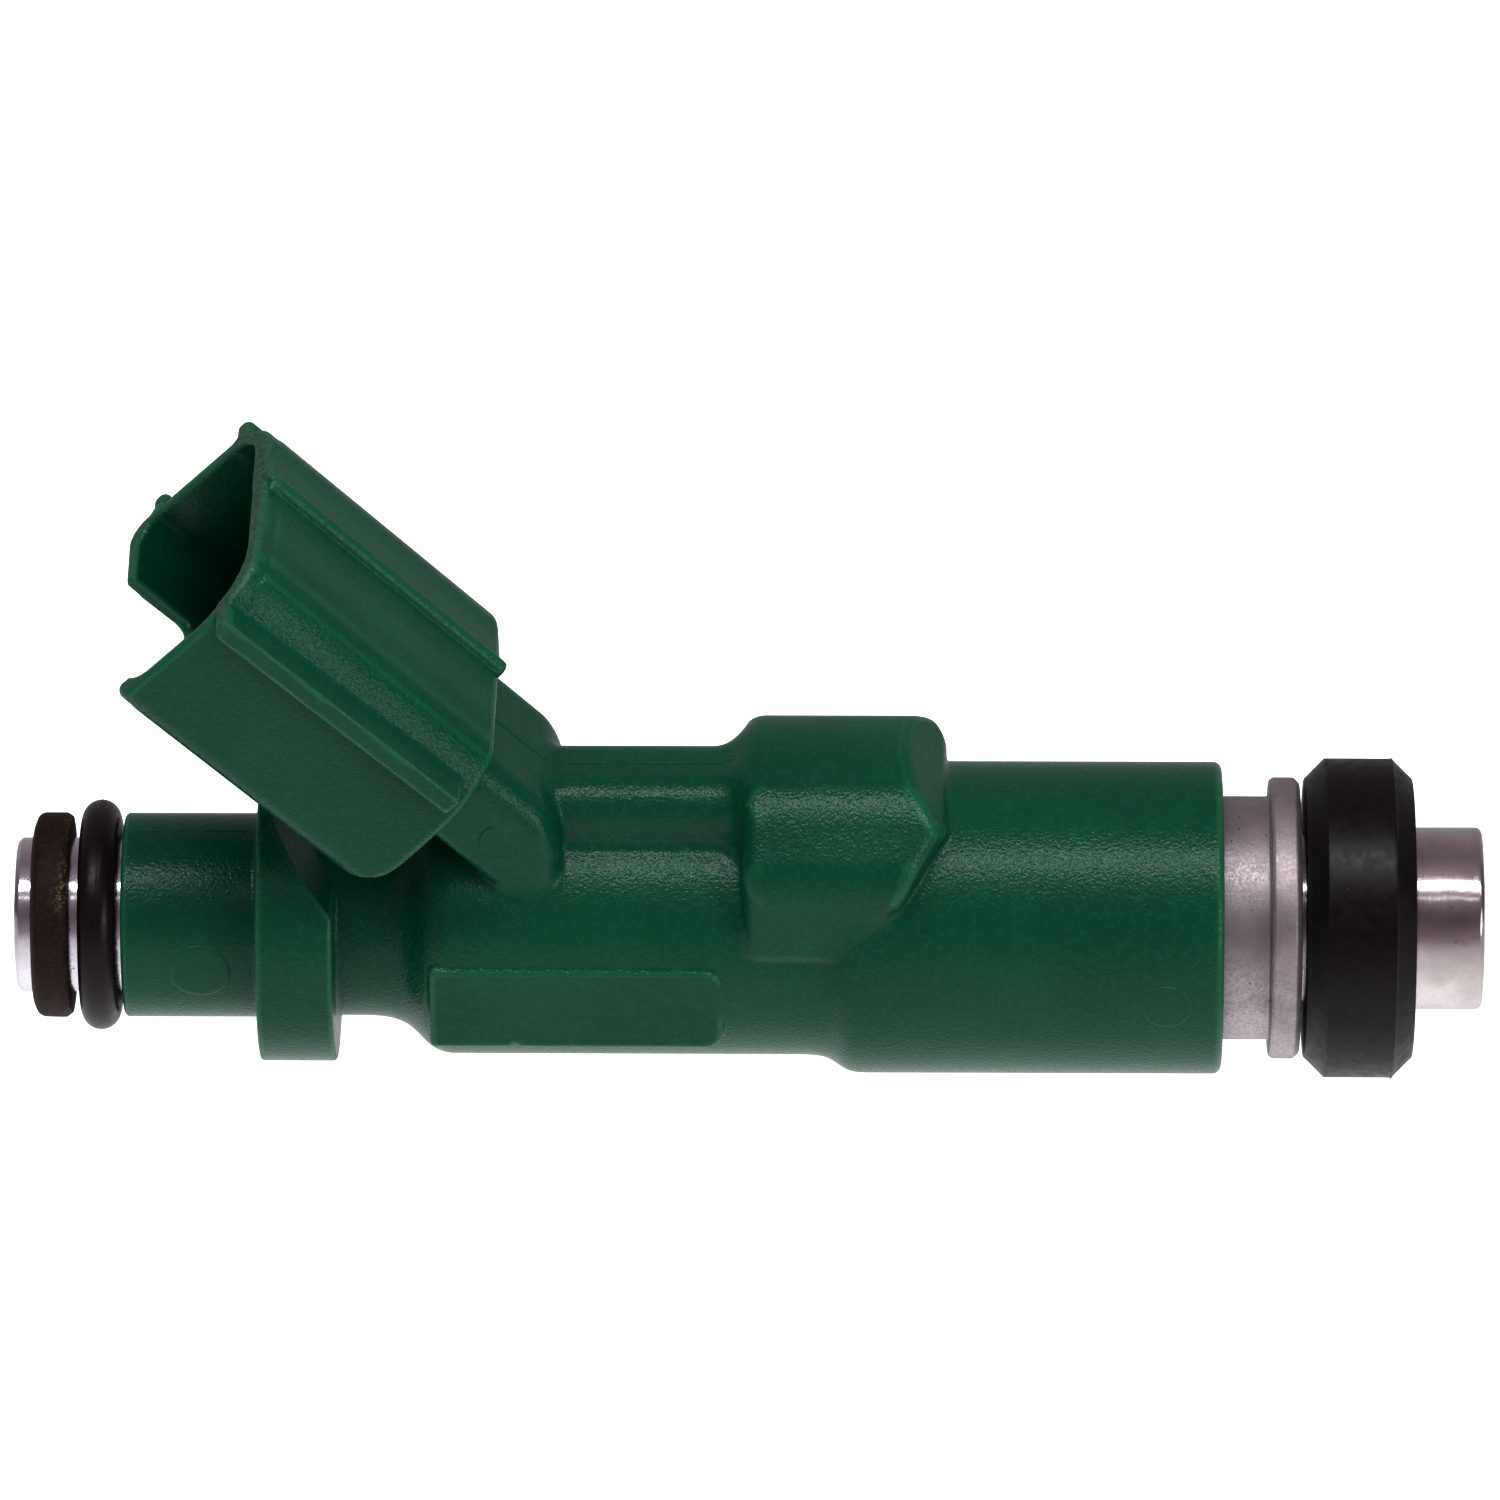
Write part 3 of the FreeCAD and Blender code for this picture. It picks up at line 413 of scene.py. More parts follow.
wt.links.new(ends, w_mul.inputs[7])
w_bg = wt.nodes.new("ShaderNodeBackground")
wt.links.new(w_mul.outputs[2], w_bg.inputs["Color"])
w_bg.inputs["Strength"].default_value = 1.0
w_white = wt.nodes.new("ShaderNodeBackground")
w_white.inputs["Color"].default_value = (1, 1, 1, 1)
w_path = wt.nodes.new("ShaderNodeLightPath")
w_mix = wt.nodes.new("ShaderNodeMixShader")
wt.links.new(w_path.outputs["Is Camera Ray"], w_mix.inputs[0])
wt.links.new(w_bg.outputs[0], w_mix.inputs[1])
wt.links.new(w_white.outputs[0], w_mix.inputs[2])
wt.links.new(w_mix.outputs[0], w_out.inputs[0])

bpy.ops.mesh.primitive_grid_add(x_subdivisions=8, y_subdivisions=8, size=3.0, location=(-0.03, 0, CAD_BOX[0][2] - 0.00002))
floor = bpy.context.object
floor.name = "floor"
fm = bpy.data.materials.new("pale_floor")
fm.use_nodes = True
ft = fm.node_tree
fb = ft.nodes["Principled BSDF"]
fb.inputs["Base Color"].default_value = (0.86, 0.86, 0.86, 1)
fb.inputs["Roughness"].default_value = 0.9
fb.inputs["Specular IOR Level"].default_value = 0.1
fb.inputs["Emission Color"].default_value = (1, 1, 1, 1)
fb.inputs["Emission Strength"].default_value = 1.25
floor.data.materials.append(fm)
floor.visible_glossy = False
floor.visible_diffuse = False
floor.visible_transmission = False
floor.visible_shadow = False

# ------------------------------------------------------------------ materials


class Mat:
    """A small helper round one node material: a Principled shader with its colour, roughness and bump from nodes."""

    def __init__(self, name):
        self.m = bpy.data.materials.new(name)
        self.m.use_nodes = True
        self.t = self.m.node_tree
        self.s = self.t.nodes["Principled BSDF"]
        self.co = self.t.nodes.new("ShaderNodeTexCoord").outputs["Object"]

    def link(self, a, b):
        self.t.links.new(a, b)

    def math(self, op, a, b=None, c=None, clamp=False):
        n = self.t.nodes.new("ShaderNodeMath")
        n.operation = op
        n.use_clamp = clamp
        for i, v in enumerate((a, b, c)):
            if v is None:
                continue
            if isinstance(v, (int, float)):
                n.inputs[i].default_value = v
            else:
                self.link(v, n.inputs[i])
        return n.outputs[0]

    def noise(self, size_mm, detail=2.0, rough=0.5, stretch=None, offset=0.0, lacunarity=2.0):
        n = self.t.nodes.new("ShaderNodeTexNoise")
        n.inputs["Scale"].default_value = 1000.0 / size_mm
        n.inputs["Detail"].default_value = detail
        n.inputs["Roughness"].default_value = rough
        n.inputs["Lacunarity"].default_value = lacunarity
        src = self.co
        if stretch or offset:
            mp = self.t.nodes.new("ShaderNodeMapping")
            mp.inputs["Scale"].default_value = stretch or (1, 1, 1)
            mp.inputs["Location"].default_value = (offset, offset * 0.7, -offset)
            self.link(self.co, mp.inputs["Vector"])
            src = mp.outputs[0]
        self.link(src, n.inputs["Vector"])
        return n.outputs["Fac"]

    def voronoi(self, size_mm, randomness=1.0):
        n = self.t.nodes.new("ShaderNodeTexVoronoi")
        n.inputs["Scale"].default_value = 1000.0 / size_mm
        n.inputs["Randomness"].default_value = randomness
        self.link(self.co, n.inputs["Vector"])
        return n.outputs["Distance"]

    def ramp(self, v, lo, hi, a=0.0, b=1.0):
        n = self.t.nodes.new("ShaderNodeMapRange")
        n.interpolation_type = "SMOOTHSTEP"
        self.link(v, n.inputs["Value"])
        for k, x in (("From Min", lo), ("From Max", hi), ("To Min", a), ("To Max", b)):
            n.inputs[k].default_value = x
        return n.outputs["Result"]

    def attribute(self, name):
        n = self.t.nodes.new("ShaderNodeAttribute")
        n.attribute_name = name
        return n.outputs["Fac"]

    def mix(self, fac, a, b):
        n = self.t.nodes.new("ShaderNodeMix")
        n.data_type = "RGBA"
        if isinstance(fac, (int, float)):
            n.inputs["Factor"].default_value = fac
        else:
            self.link(fac, n.inputs["Factor"])
        for k, v in ((6, a), (7, b)):
            if isinstance(v, tuple):
                n.inputs[k].default_value = (*v, 1.0)
            else:
                self.link(v, n.inputs[k])
        return n.outputs[2]

    def colour(self, v):
        if isinstance(v, tuple):
            self.s.inputs["Base Color"].default_value = (*v, 1.0)
        else:
            self.link(v, self.s.inputs["Base Color"])

    def roughness(self, v):
        if isinstance(v, (int, float)):
            self.s.inputs["Roughness"].default_value = v
        else:
            self.link(v, self.s.inputs["Roughness"])

    def bump(self, height, distance_mm, strength=1.0):
        n = self.t.nodes.new("ShaderNodeBump")
        n.inputs["Distance"].default_value = distance_mm * MM
        if isinstance(strength, (int, float)):
            n.inputs["Strength"].default_value = strength
        else:
            self.link(strength, n.inputs["Strength"])
        self.link(height, n.inputs["Height"])
        last = getattr(self, "_bump", None)
        if last is not None:
            self.link(last, n.inputs["Normal"])
        self._bump = n.outputs["Normal"]
        self.link(self._bump, self.s.inputs["Normal"])

    def set(self, **kw):
        for k, v in kw.items():
            self.s.inputs[k.replace("_", " ")].default_value = v


def green_plastic():
    m = Mat("green_nylon_grained")
    big = m.noise(9.0, 3.0, 0.55)
    fine = m.noise(0.35, 2.0, 0.6)
    speck = m.voronoi(0.55)
    base = m.mix(m.ramp(big, 0.35, 0.68), (0.0018, 0.114, 0.056), (0.0033, 0.138, 0.068))
    base = m.mix(m.ramp(fine, 0.42, 0.72, 0.0, 0.35), base, (0.008, 0.185, 0.095))
    base = m.mix(m.ramp(speck, 0.06, 0.12, 0.22, 0.0), base, (0.10, 0.25, 0.17))
    edge = m.attribute("edge")
    base = m.mix(m.ramp(edge, 0.15, 0.9, 0.0, 0.5), base, (0.04, 0.27, 0.14))
    scuff = m.math("MULTIPLY", m.attribute("scuff"), m.ramp(m.noise(0.28, 3.0, 0.7, offset=0.3), 0.42, 0.62))
    base = m.mix(scuff, base, (0.12, 0.19, 0.14))
    # painted shade: the socket's inner walls are mixed towards near black, more the deeper into the mouth
    base = m.mix(m.attribute("painted_mouth_shade"), base, (0.0003, 0.018, 0.009))
    m.colour(base)
    m.roughness(m.math("ADD", m.ramp(fine, 0.3, 0.7, 0.17, 0.25), m.math("MULTIPLY", m.attribute("scuff"), 0.25)))
    m.set(Specular_IOR_Level=0.40, IOR=1.5)
    g = m.noise(0.17, 1.4, 0.6)
    m.bump(g, 0.040, m.attribute("grain"))
    m.bump(m.noise(2.2, 2.0, 0.5), 0.012, 0.5)
    return m.m


def rubber(name, base, lighter, rough=0.34, size=0.6):
    m = Mat(name)
    big = m.noise(4.0, 3.0, 0.6)
    c = m.mix(m.ramp(big, 0.35, 0.7), base, lighter)
    dust = m.ramp(m.voronoi(0.7), 0.05, 0.10, 0.5, 0.0)
    c = m.mix(m.math("MULTIPLY", dust, m.ramp(m.noise(3.0, 2.0, offset=0.2), 0.5, 0.66)), c, (0.16, 0.12, 0.10))
    m.colour(c)
    m.roughness(m.ramp(m.noise(size, 3.0, 0.6), 0.3, 0.7, rough - 0.05, rough + 0.09))
    m.set(Specular_IOR_Level=0.5)
    m.bump(m.noise(0.25, 2.0), 0.004, 0.7)
    m.bump(m.noise(1.6, 2.0), 0.02, 0.5)
    return m.m


def steel(name, base, darker, rough=(0.3, 0.4), grain_mm=0.2, bump_mm=0.006, stretch=None, metal=1.0, spots=0.0):
    m = Mat(name)
    c = m.mix(m.ramp(m.noise(3.5, 3.0, 0.6), 0.35, 0.7), base, darker)
    g = m.noise(grain_mm, 2.5, 0.65, stretch=stretch)
    c = m.mix(m.ramp(g, 0.35, 0.7, 0.0, 0.5), c, darker)
    if spots:
        c = m.mix(m.ramp(m.voronoi(0.8), 0.05, 0.11, spots, 0.0), c, (0.03, 0.025, 0.02))
    m.colour(c)
    m.set(Metallic=metal)
    m.roughness(m.ramp(g, 0.3, 0.7, rough[0], rough[1]))
    m.bump(g, bump_mm, 0.8)
    return m.m


M_GREEN = green_plastic()
M_SEAL = rubber("o_ring_rubber", (0.0120, 0.0040, 0.0060), (0.0170, 0.0062, 0.0090), 0.32)
M_GROMMET = rubber("grommet_rubber", (0.0040, 0.0012, 0.0020), (0.0070, 0.0024, 0.0036), 0.36)
M_YOKE = steel("blasted_steel", (0.66, 0.60, 0.63), (0.46, 0.42, 0.44), (0.46, 0.62), 0.17, 0.022, spots=0.6)
M_TIP = steel("zinc_steel", (0.93, 0.91, 0.97), (0.78, 0.76, 0.83), (0.10, 0.20), 0.22, 0.006, stretch=(1.6, 1, 1), spots=0.7)
M_NOZZLE = steel("polished_steel", (0.86, 0.80, 0.80), (0.62, 0.56, 0.56), (0.10, 0.22), 0.30, 0.0035, stretch=(9, 1, 1), spots=0.5)
M_STAINLESS = steel("ground_stainless", (0.66, 0.65, 0.66), (0.5, 0.49, 0.5), (0.2, 0.32), 0.3, 0.003, stretch=(6, 1, 1))
M_MAGNET = steel("magnetic_steel", (0.56, 0.56, 0.58), (0.42, 0.42, 0.44), (0.3, 0.42), 0.25, 0.005)
M_SPRING = steel("spring_wire", (0.5, 0.5, 0.53), (0.35, 0.35, 0.37), (0.22, 0.34), 0.12, 0.003)
M_TIN = steel("tin_plate", (0.80, 0.78, 0.72), (0.64, 0.62, 0.57), (0.24, 0.38), 0.25, 0.003, stretch=(1, 6, 1))
M_BRASS = steel("filter_brass", (0.78, 0.60, 0.30), (0.60, 0.45, 0.22), (0.22, 0.34), 0.3, 0.003, stretch=(6, 1, 1))


def copper():
    m = Mat("enamelled_copper_wire")
    w = m.t.nodes.new("ShaderNodeTexWave")
    w.wave_type, w.bands_direction = "BANDS", "X"
    w.inputs["Scale"].default_value = 1000.0 / 0.12 / 20.0 * 6.2832 / 6.2832
    m.link(m.co, w.inputs["Vector"])
    m.colour(m.mix(m.ramp(w.outputs["Fac"], 0.2, 0.8), (0.34, 0.12, 0.05), (0.72, 0.33, 0.15)))
    m.set(Metallic=0.85)
    m.roughness(m.ramp(m.noise(0.5), 0.3, 0.7, 0.22, 0.36))
    m.bump(w.outputs["Fac"], 0.04, 0.9)
    return m.m


def moulded(name, a, b, rough=0.42):
    m = Mat(name)
    m.colour(m.mix(m.ramp(m.noise(2.5, 3.0), 0.35, 0.7), a, b))
    m.roughness(m.ramp(m.noise(0.4, 2.0), 0.3, 0.7, rough - 0.06, rough + 0.08))
    m.bump(m.noise(0.2, 2.0), 0.006, 0.7)
    return m.m


def screen():
    m = Mat("woven_screen")
    a = m.noise(0.2, 1.0)
    w = m.t.nodes.new("ShaderNodeTexWave")
    w.bands_direction = "X"
    w.inputs["Scale"].default_value = 1000.0 / 0.2 / 20.0 * 6.0
    m.link(m.co, w.inputs["Vector"])
    m.colour(m.mix(m.ramp(w.outputs["Fac"], 0.3, 0.7), (0.2, 0.2, 0.2), (0.62, 0.61, 0.6)))
    m.set(Metallic=0.7)
    m.roughness(m.ramp(a, 0.3, 0.7, 0.35, 0.5))
    m.bump(w.outputs["Fac"], 0.03, 0.9)
    return m.m


def ring_brown():
    m = Mat("worn_brown_ring")
    big = m.noise(3.0, 3.0, 0.6)
    c = m.mix(m.ramp(big, 0.35, 0.7), (0.0220, 0.0105, 0.0080), (0.034, 0.0175, 0.0135))
    fine = m.noise(0.3, 3.0, 0.65, offset=0.1)
    c = m.mix(m.ramp(fine, 0.55, 0.75, 0.0, 0.5), c, (0.055, 0.035, 0.025))
    wear = m.math("MULTIPLY", m.attribute("wear"), m.ramp(m.noise(0.22, 3.0, 0.75, offset=0.4), 0.46, 0.60))
    c = m.mix(wear, c, (0.30, 0.21, 0.12))
    m.colour(c)
    m.roughness(m.ramp(fine, 0.3, 0.7, 0.55, 0.7))
    m.set(Specular_IOR_Level=0.35)
    m.bump(fine, 0.01, 0.8)
    m.bump(m.noise(1.2, 2.0), 0.05, 0.5)
    return m.m


M_RING = ring_brown()
M_COPPER = copper()
M_BOBBIN = moulded("bobbin_nylon", (0.02, 0.02, 0.022), (0.035, 0.035, 0.04))
M_FILTER = moulded("filter_nylon", (0.58, 0.53, 0.42), (0.68, 0.63, 0.52))
M_SCREEN = screen()

NODE_MATERIAL = {"overmould_body": M_GREEN, "terminal_near": M_TIN, "terminal_far": M_TIN, "coil_bobbin": M_BOBBIN, "coil_winding": M_COPPER, "inlet_core": M_TIP, "filter_collar": M_BRASS,
                 "filter_frame": M_FILTER, "filter_mesh": M_SCREEN, "backup_ring": M_RING, "rail_o_ring": M_SEAL, "adjusting_pipe": M_STAINLESS, "return_spring": M_SPRING, "armature": M_MAGNET,
                 "needle": M_STAINLESS, "valve_ball": M_STAINLESS, "guide_sleeve": M_STAINLESS, "flux_washer": M_MAGNET, "yoke_housing": M_YOKE, "upper_coil_seal": M_SEAL, "lower_coil_seal": M_SEAL,
                 "valve_body": M_STAINLESS, "stop_plate": M_STAINLESS, "valve_seat": M_STAINLESS, "orifice_plate": M_STAINLESS, "nozzle_sleeve": M_NOZZLE, "lower_grommet": M_GROMMET}
for node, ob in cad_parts.items():
    mat = NODE_MATERIAL.get(node, M_STAINLESS)
    if len(ob.data.materials) == 0:
        ob.data.materials.append(mat)
    for i in range(len(ob.data.materials)):
        ob.data.materials[i] = mat


def piece(ob, mat, node=None, body=MAIN):
    ob.data.materials.clear()
    ob.data.materials.append(mat)
    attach(ob, body)
    if node:
        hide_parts(node)
    return ob


# ------------------------------------------------------------------ green moulding
H = 0.21
V, Q = contour(overmould, (-64.031, -10.377, -8.713), (-6.4, 10.3, 26.7), H)
N = gradient(overmould, V, 0.015)
shell = make_mesh("overmould_shell", V, Q, N)
if len(shell.data.vertices) == len(V):
    e = 0.22
    lap = -6.0 * in_chunks(overmould, V)
    for k in range(3):
        d = np.zeros(3)
        d[k] = e
        lap += in_chunks(overmould, V + d) + in_chunks(overmould, V - d)
    curve = np.clip(lap / (e * e) - 0.55, 0, 4) / 2.2          # convex edges only
    s_, b_ = shroud_parts(V[:, 0], V[:, 1], V[:, 2])
    on_shroud = 1 - smoothstep(0.0, 0.5, shroud_outer(s_, V[:, 1], b_))
    in_mouth = (s_ > 0.3) & (np.abs(shroud_hollow(s_, V[:, 1], b_)) < 0.12)
    grain = 1.0 + 0.15 * on_shroud
    grain[in_mouth] = 0.25
    paint(shell, "edge", np.clip(curve, 0, 1))
    paint(shell, "grain", grain)
    scuff = (1 - smoothstep(0.05, 0.22, s_)) * smoothstep(1.0, 3.2, b_) * on_shroud
    paint(shell, "scuff", scuff)
    # painted shade inside the socket's mouth, growing from 0.25 at the rim to 0.85 deep inside
    paint(shell, "painted_mouth_shade", np.where(in_mouth, 0.25 + 0.6 * smoothstep(0.5, 7.0, s_), 0.0))
piece(shell, M_GREEN, "overmould_body")


# ------------------------------------------------------------------ turned and moulded rings


def outline(points, step=0.3, arc=14.0):
    """A closed outline of (station, radius, corner radius): corners rounded, straights divided."""
    P = [np.array(p[:2], float) for p in points]
    n = len(P)
    ends = []
    for i in range(n):
        r = points[i][2] if len(points[i]) > 2 else 0.0
        a, b, c = P[i - 1], P[i], P[(i + 1) % n]
        u, v = a - b, c - b
        lu, lv = np.linalg.norm(u), np.linalg.norm(v)
        u, v = u / lu, v / lv
        half = math.acos(max(-1, min(1, float(u @ v)))) / 2
        t = min(r / max(math.tan(half), 1e-6), 0.49 * lu, 0.49 * lv)
        if r <= 0 or t < 1e-5:
            ends.append([b])
            continue
        r = t * math.tan(half)
        centre = b + (u + v) / np.linalg.norm(u + v) * (r / math.sin(half))
        p, q = b + u * t, b + v * t
        a0, a1 = math.atan2(*(p - centre)[::-1]), math.atan2(*(q - centre)[::-1])
        d = (a1 - a0 + math.pi) % (2 * math.pi) - math.pi
        k = max(2, int(math.ceil(abs(math.degrees(d)) / arc)))
        ends.append([centre + r * np.array([math.cos(a0 + d * j / k), math.sin(a0 + d * j / k)]) for j in range(k + 1)])
    out = []
    for i in range(n):
        out.extend(ends[i])
        a, b = ends[i][-1], ends[(i + 1) % n][0]
        k = int(np.linalg.norm(b - a) // step)
        out.extend(a + (b - a) * j / (k + 1) for j in range(1, k + 1))
    return np.array(out)


def turn_piece(name, points, segs=240, step=0.3, change=None, sharp=32.0):
    """A ring turned about the axis from its outline. change(u, r, angle) shifts its points; the angle is 0 at the front and 90 on top."""
    o = outline(points, step)
    T = np.arange(segs) * 2 * np.pi / segs
    U = np.repeat(o[:, 0][:, None], segs, 1)
    R = np.repeat(o[:, 1][:, None], segs, 1)
    A = np.repeat(T[None], len(o), 0)
    if change is not None:
        dU, dR = change(U, R, A)
        U, R = U + dU, R + dR
    V = np.stack([U - O, -R * np.cos(A), R * np.sin(A)], -1).reshape(-1, 3)
    i, j = np.meshgrid(np.arange(len(o)), np.arange(segs), indexing="ij")
    i2, j2 = (i + 1) % len(o), (j + 1) % segs
    F = np.stack([i * segs + j, i * segs + j2, i2 * segs + j2, i2 * segs + j], -1).reshape(-1, 4)
    area = 0.5 * np.sum(o[:, 0] * np.roll(o[:, 1], -1) - np.roll(o[:, 0], -1) * o[:, 1])
    if area < 0:
        F = F[:, ::-1]
    ob = make_mesh(name, V, F)
    ob.data.set_sharp_from_angle(angle=math.radians(sharp))
    return ob, U.ravel(), R.ravel(), A.ravel()


def waves(u, a, seed, kmax=9, kmin=1, axial=2.0):
    """Smooth unevenness round a ring, about -1 to 1, repeating at a full turn."""
    rng = np.random.default_rng(seed)
    out = np.zeros_like(a)
    for k in range(kmin, kmax + 1):
        w = rng.uniform(0.4, 1.0) / k ** 0.5
        out = out + w * np.sin(k * a + rng.uniform(0, 6.28) + axial * rng.uniform(-1, 1) * u)
    return out / (0.9 * math.sqrt(kmax - kmin + 1))


def bump_at(a, deg, width_deg):
    d = (a - math.radians(deg) + np.pi) % (2 * np.pi) - np.pi
    return np.exp(-(d / math.radians(width_deg)) ** 2)


# inlet core: plated, its rim a little uneven, long bore for the filter and the adjusting pipe
def core_change(u, r, a):
    tip = (r > 3.5) & (u < 5.6)
    return np.where((u < 0.4) & (r > 2.8), 0.02 * waves(r, a, 3, 14), 0), np.where(tip, 0.012 * waves(u, a, 4, 16, 2, 5.0), 0)


core, cu, cr, ca = turn_piece("inlet_core_plated", [(0, 2.9, .08), (0, 3.76, .06), (0.22, 3.97, .1), (20.0, 3.97, .05), (20.0, 3.0), (52.0, 3.0, .08), (52.0, 1.6, .05), (12.0, 1.6), (12.0, 2.9)],
                              216, 0.35, core_change)
piece(core, M_TIP, "inlet_core")


# back-up ring: soft left shoulder, torn lip on the right, flattened a little where the filter's tool has rubbed it
def ring_change(u, r, a):
    outer = smoothstep(4.2, 4.9, r)
    lip = smoothstep(2.45, 2.8, u) * outer
    du = lip * (0.05 * waves(u * 0, a, 11, 22, 2, 0) - 0.03) + smoothstep(1.2, 0.85, u) * outer * 0.035 * waves(u * 0, a, 12, 9, 1, 0)
    dr = outer * 0.03 * waves(u, a, 13, 12, 1, 2.0) + lip * 0.05 * waves(u * 0, a, 14, 26, 4, 0) - 0.10 * lip * bump_at(a, -44, 7)
    return du, dr - 0.045 * outer


ring, ru, rr, ra = turn_piece("backup_ring_worn", [(0.86, 3.99, .05), (0.86, 4.66, .30), (1.10, 5.30, .62), (2.52, 5.32, .22), (2.80, 5.14, .06), (2.80, 3.99, .05)], 288, 0.12, ring_change, 50)
wear = 0.95 * bump_at(ra, 45, 7) * np.exp(-((ru - 2.45) / 0.35) ** 2) + 0.7 * bump_at(ra, -52, 13) * smoothstep(2.2, 2.7, ru) + 0.75 * bump_at(ra, 58, 9) * np.exp(-((ru - 2.6) / 0.22) ** 2)
wear = wear + 0.35 * bump_at(ra, 104, 14) * smoothstep(2.3, 2.7, ru) + 0.4 * smoothstep(2.55, 2.8, ru) * (waves(ru * 0, ra, 15, 14, 2, 0) > 0.35) + 0.06
paint(ring, "wear", np.clip(wear, 0, 1))
piece(ring, M_RING, "backup_ring")


# rail O-ring: a moulding line round its outside, nicked in two places
def seal_section(n=44):
    return [(4.27 + 0.975 * math.cos(t), 4.95 + 0.975 * math.sin(t)) for t in (2 * math.pi * k / n for k in range(n))]


def seal_change(u, r, a):
    line = np.exp(-((u - 4.27) / 0.05) ** 2) * (r > 5.4)
    nick = bump_at(a, 124, 1.6) + bump_at(a, -56, 1.6) + 0.6 * bump_at(a, 250, 2)
    return 0 * u, line * (0.02 - 0.055 * nick) + 0.012 * waves(u, a, 21, 5, 1, 0.5) * smoothstep(4.2, 5.2, r)


pts = seal_section()
pts = pts + [(4.27 + d, 4.95 + math.sqrt(0.975 ** 2 - d * d)) for d in (-0.11, -0.07, -0.04, -0.02, 0.02, 0.04, 0.07, 0.11)]
pts.sort(key=lambda p: math.atan2(p[1] - 4.95, p[0] - 4.27))
seal, _, _, _ = turn_piece("rail_o_ring_moulded", [(p[0], p[1]) for p in pts], 288, 9.0, seal_change, 60)
piece(seal, M_SEAL, "rail_o_ring")

# housing: blasted steel with a rolled flange, slotted under the moulding for the coil's terminal tower
yoke, _, _, _ = turn_piece("yoke_housing_blasted", [(45.0, 5.36, .05), (45.0, 6.26, .1), (64.32, 6.26, .16), (64.34, 7.10, .13), (64.55, 7.24, .16), (65.6, 7.24, .22), (65.89, 6.95, .12), (65.89, 4.2, .05),
                                                    (60.5, 4.2, .05), (60.5, 5.36, .2)], 240, 0.4, lambda u, r, a: (0 * u, np.where(u > 60, 0.008 * waves(u, a, 31, 12, 2, 3.0), 0)))
cutter = bpy.data.meshes.new("slot_tool")
x0, x1, y1, z0, z1 = 44.0 - O, 47.4 + 0.05 - O, 3.05, 4.0, 9.0
cv = [(x, y, z) for x in (x0, x1) for y in (-y1, y1) for z in (z0, z1)]
cutter.from_pydata([tuple(c * MM for c in v) for v in cv], [], [(0, 1, 3, 2), (4, 6, 7, 5), (0, 4, 5, 1), (2, 3, 7, 6), (0, 2, 6, 4), (1, 5, 7, 3)])
tool = bpy.data.objects.new("slot_tool", cutter)
bpy.context.scene.collection.objects.link(tool)
mod = yoke.modifiers.new("slot", "BOOLEAN")
mod.operation, mod.object, mod.solver = "DIFFERENCE", tool, "EXACT"
dg = bpy.context.evaluated_depsgraph_get()
cut_mesh = bpy.data.meshes.new_from_object(yoke.evaluated_get(dg))
yoke.modifiers.clear()
yoke.data = cut_mesh
bpy.data.objects.remove(tool)
piece(yoke, M_YOKE, "yoke_housing")


# manifold grommet: crisp chamfers, parting line with a thread of flash near its nozzle end
def grommet_change(u, r, a):
    outer = smoothstep(7.0, 7.4, r)
    flash = np.exp(-((u - 70.66) / 0.055) ** 2) * outer
    ragged = 0.5 + 0.5 * waves(u * 0, a, 41, 30, 6, 0)
    return outer * 0.012 * waves(u * 0, a, 42, 7, 1, 0), flash * (0.035 + 0.03 * ragged + 0.05 * bump_at(a, -52, 9) * ragged) - 0.045 * outer + outer * 0.02 * waves(u, a, 43, 6, 1, 0.5)


grom, _, _, _ = turn_piece("manifold_grommet_moulded", [(66.17, 4.34, .1), (66.15, 7.19, .12), (67.2, 8.25, .07), (70.58, 8.25), (70.62, 8.25), (70.66, 8.25), (70.70, 8.21), (70.75, 8.17), (71.70, 7.22, .14), (71.70, 4.72, .1),
                                                        (71.5, 4.34, .05)], 288, 0.3, grommet_change, 30)
piece(grom, M_GROMMET, "lower_grommet")


# nozzle sleeve: polished, a little dinged, rolled lip round the orifice plate
def nozzle_change(u, r, a):
    out = (u > 71.9) & (r > 4.2)
    return np.where((u > 75.0) & (r > 2.5), 0.012 * waves(r, a, 52, 9, 1, 2.0), 0), np.where(out, 0.010 * waves(u, a, 51, 18, 3, 4.0) + 0.006 * waves(u, a, 53, 40, 18, 9.0), 0)


noz, _, _, _ = turn_piece("nozzle_sleeve_polished", [(65.9, 4.2), (65.9, 4.32, .05), (71.71, 4.32), (71.72, 4.69, .05), (75.29, 4.69, .34), (75.29, 2.6, .12), (74.79, 2.6, .03), (74.79, 4.2)], 320, 0.14, nozzle_change, 40)
piece(noz, M_NOZZLE, "nozzle_sleeve")


# parting line of the two mould halves, run as a hair-thin bead over the top and underneath


def edge_point(fn, inner, outer):
    """Where the surface lies between an inside and an outside point, arrays of (n, 3)."""
    a, b = np.array(inner, float), np.array(outer, float)
    for _ in range(30):
        m = (a + b) / 2
        inside = in_chunks(fn, m) < 0
        a[inside], b[~inside] = m[inside], m[~inside]
    return (a + b) / 2


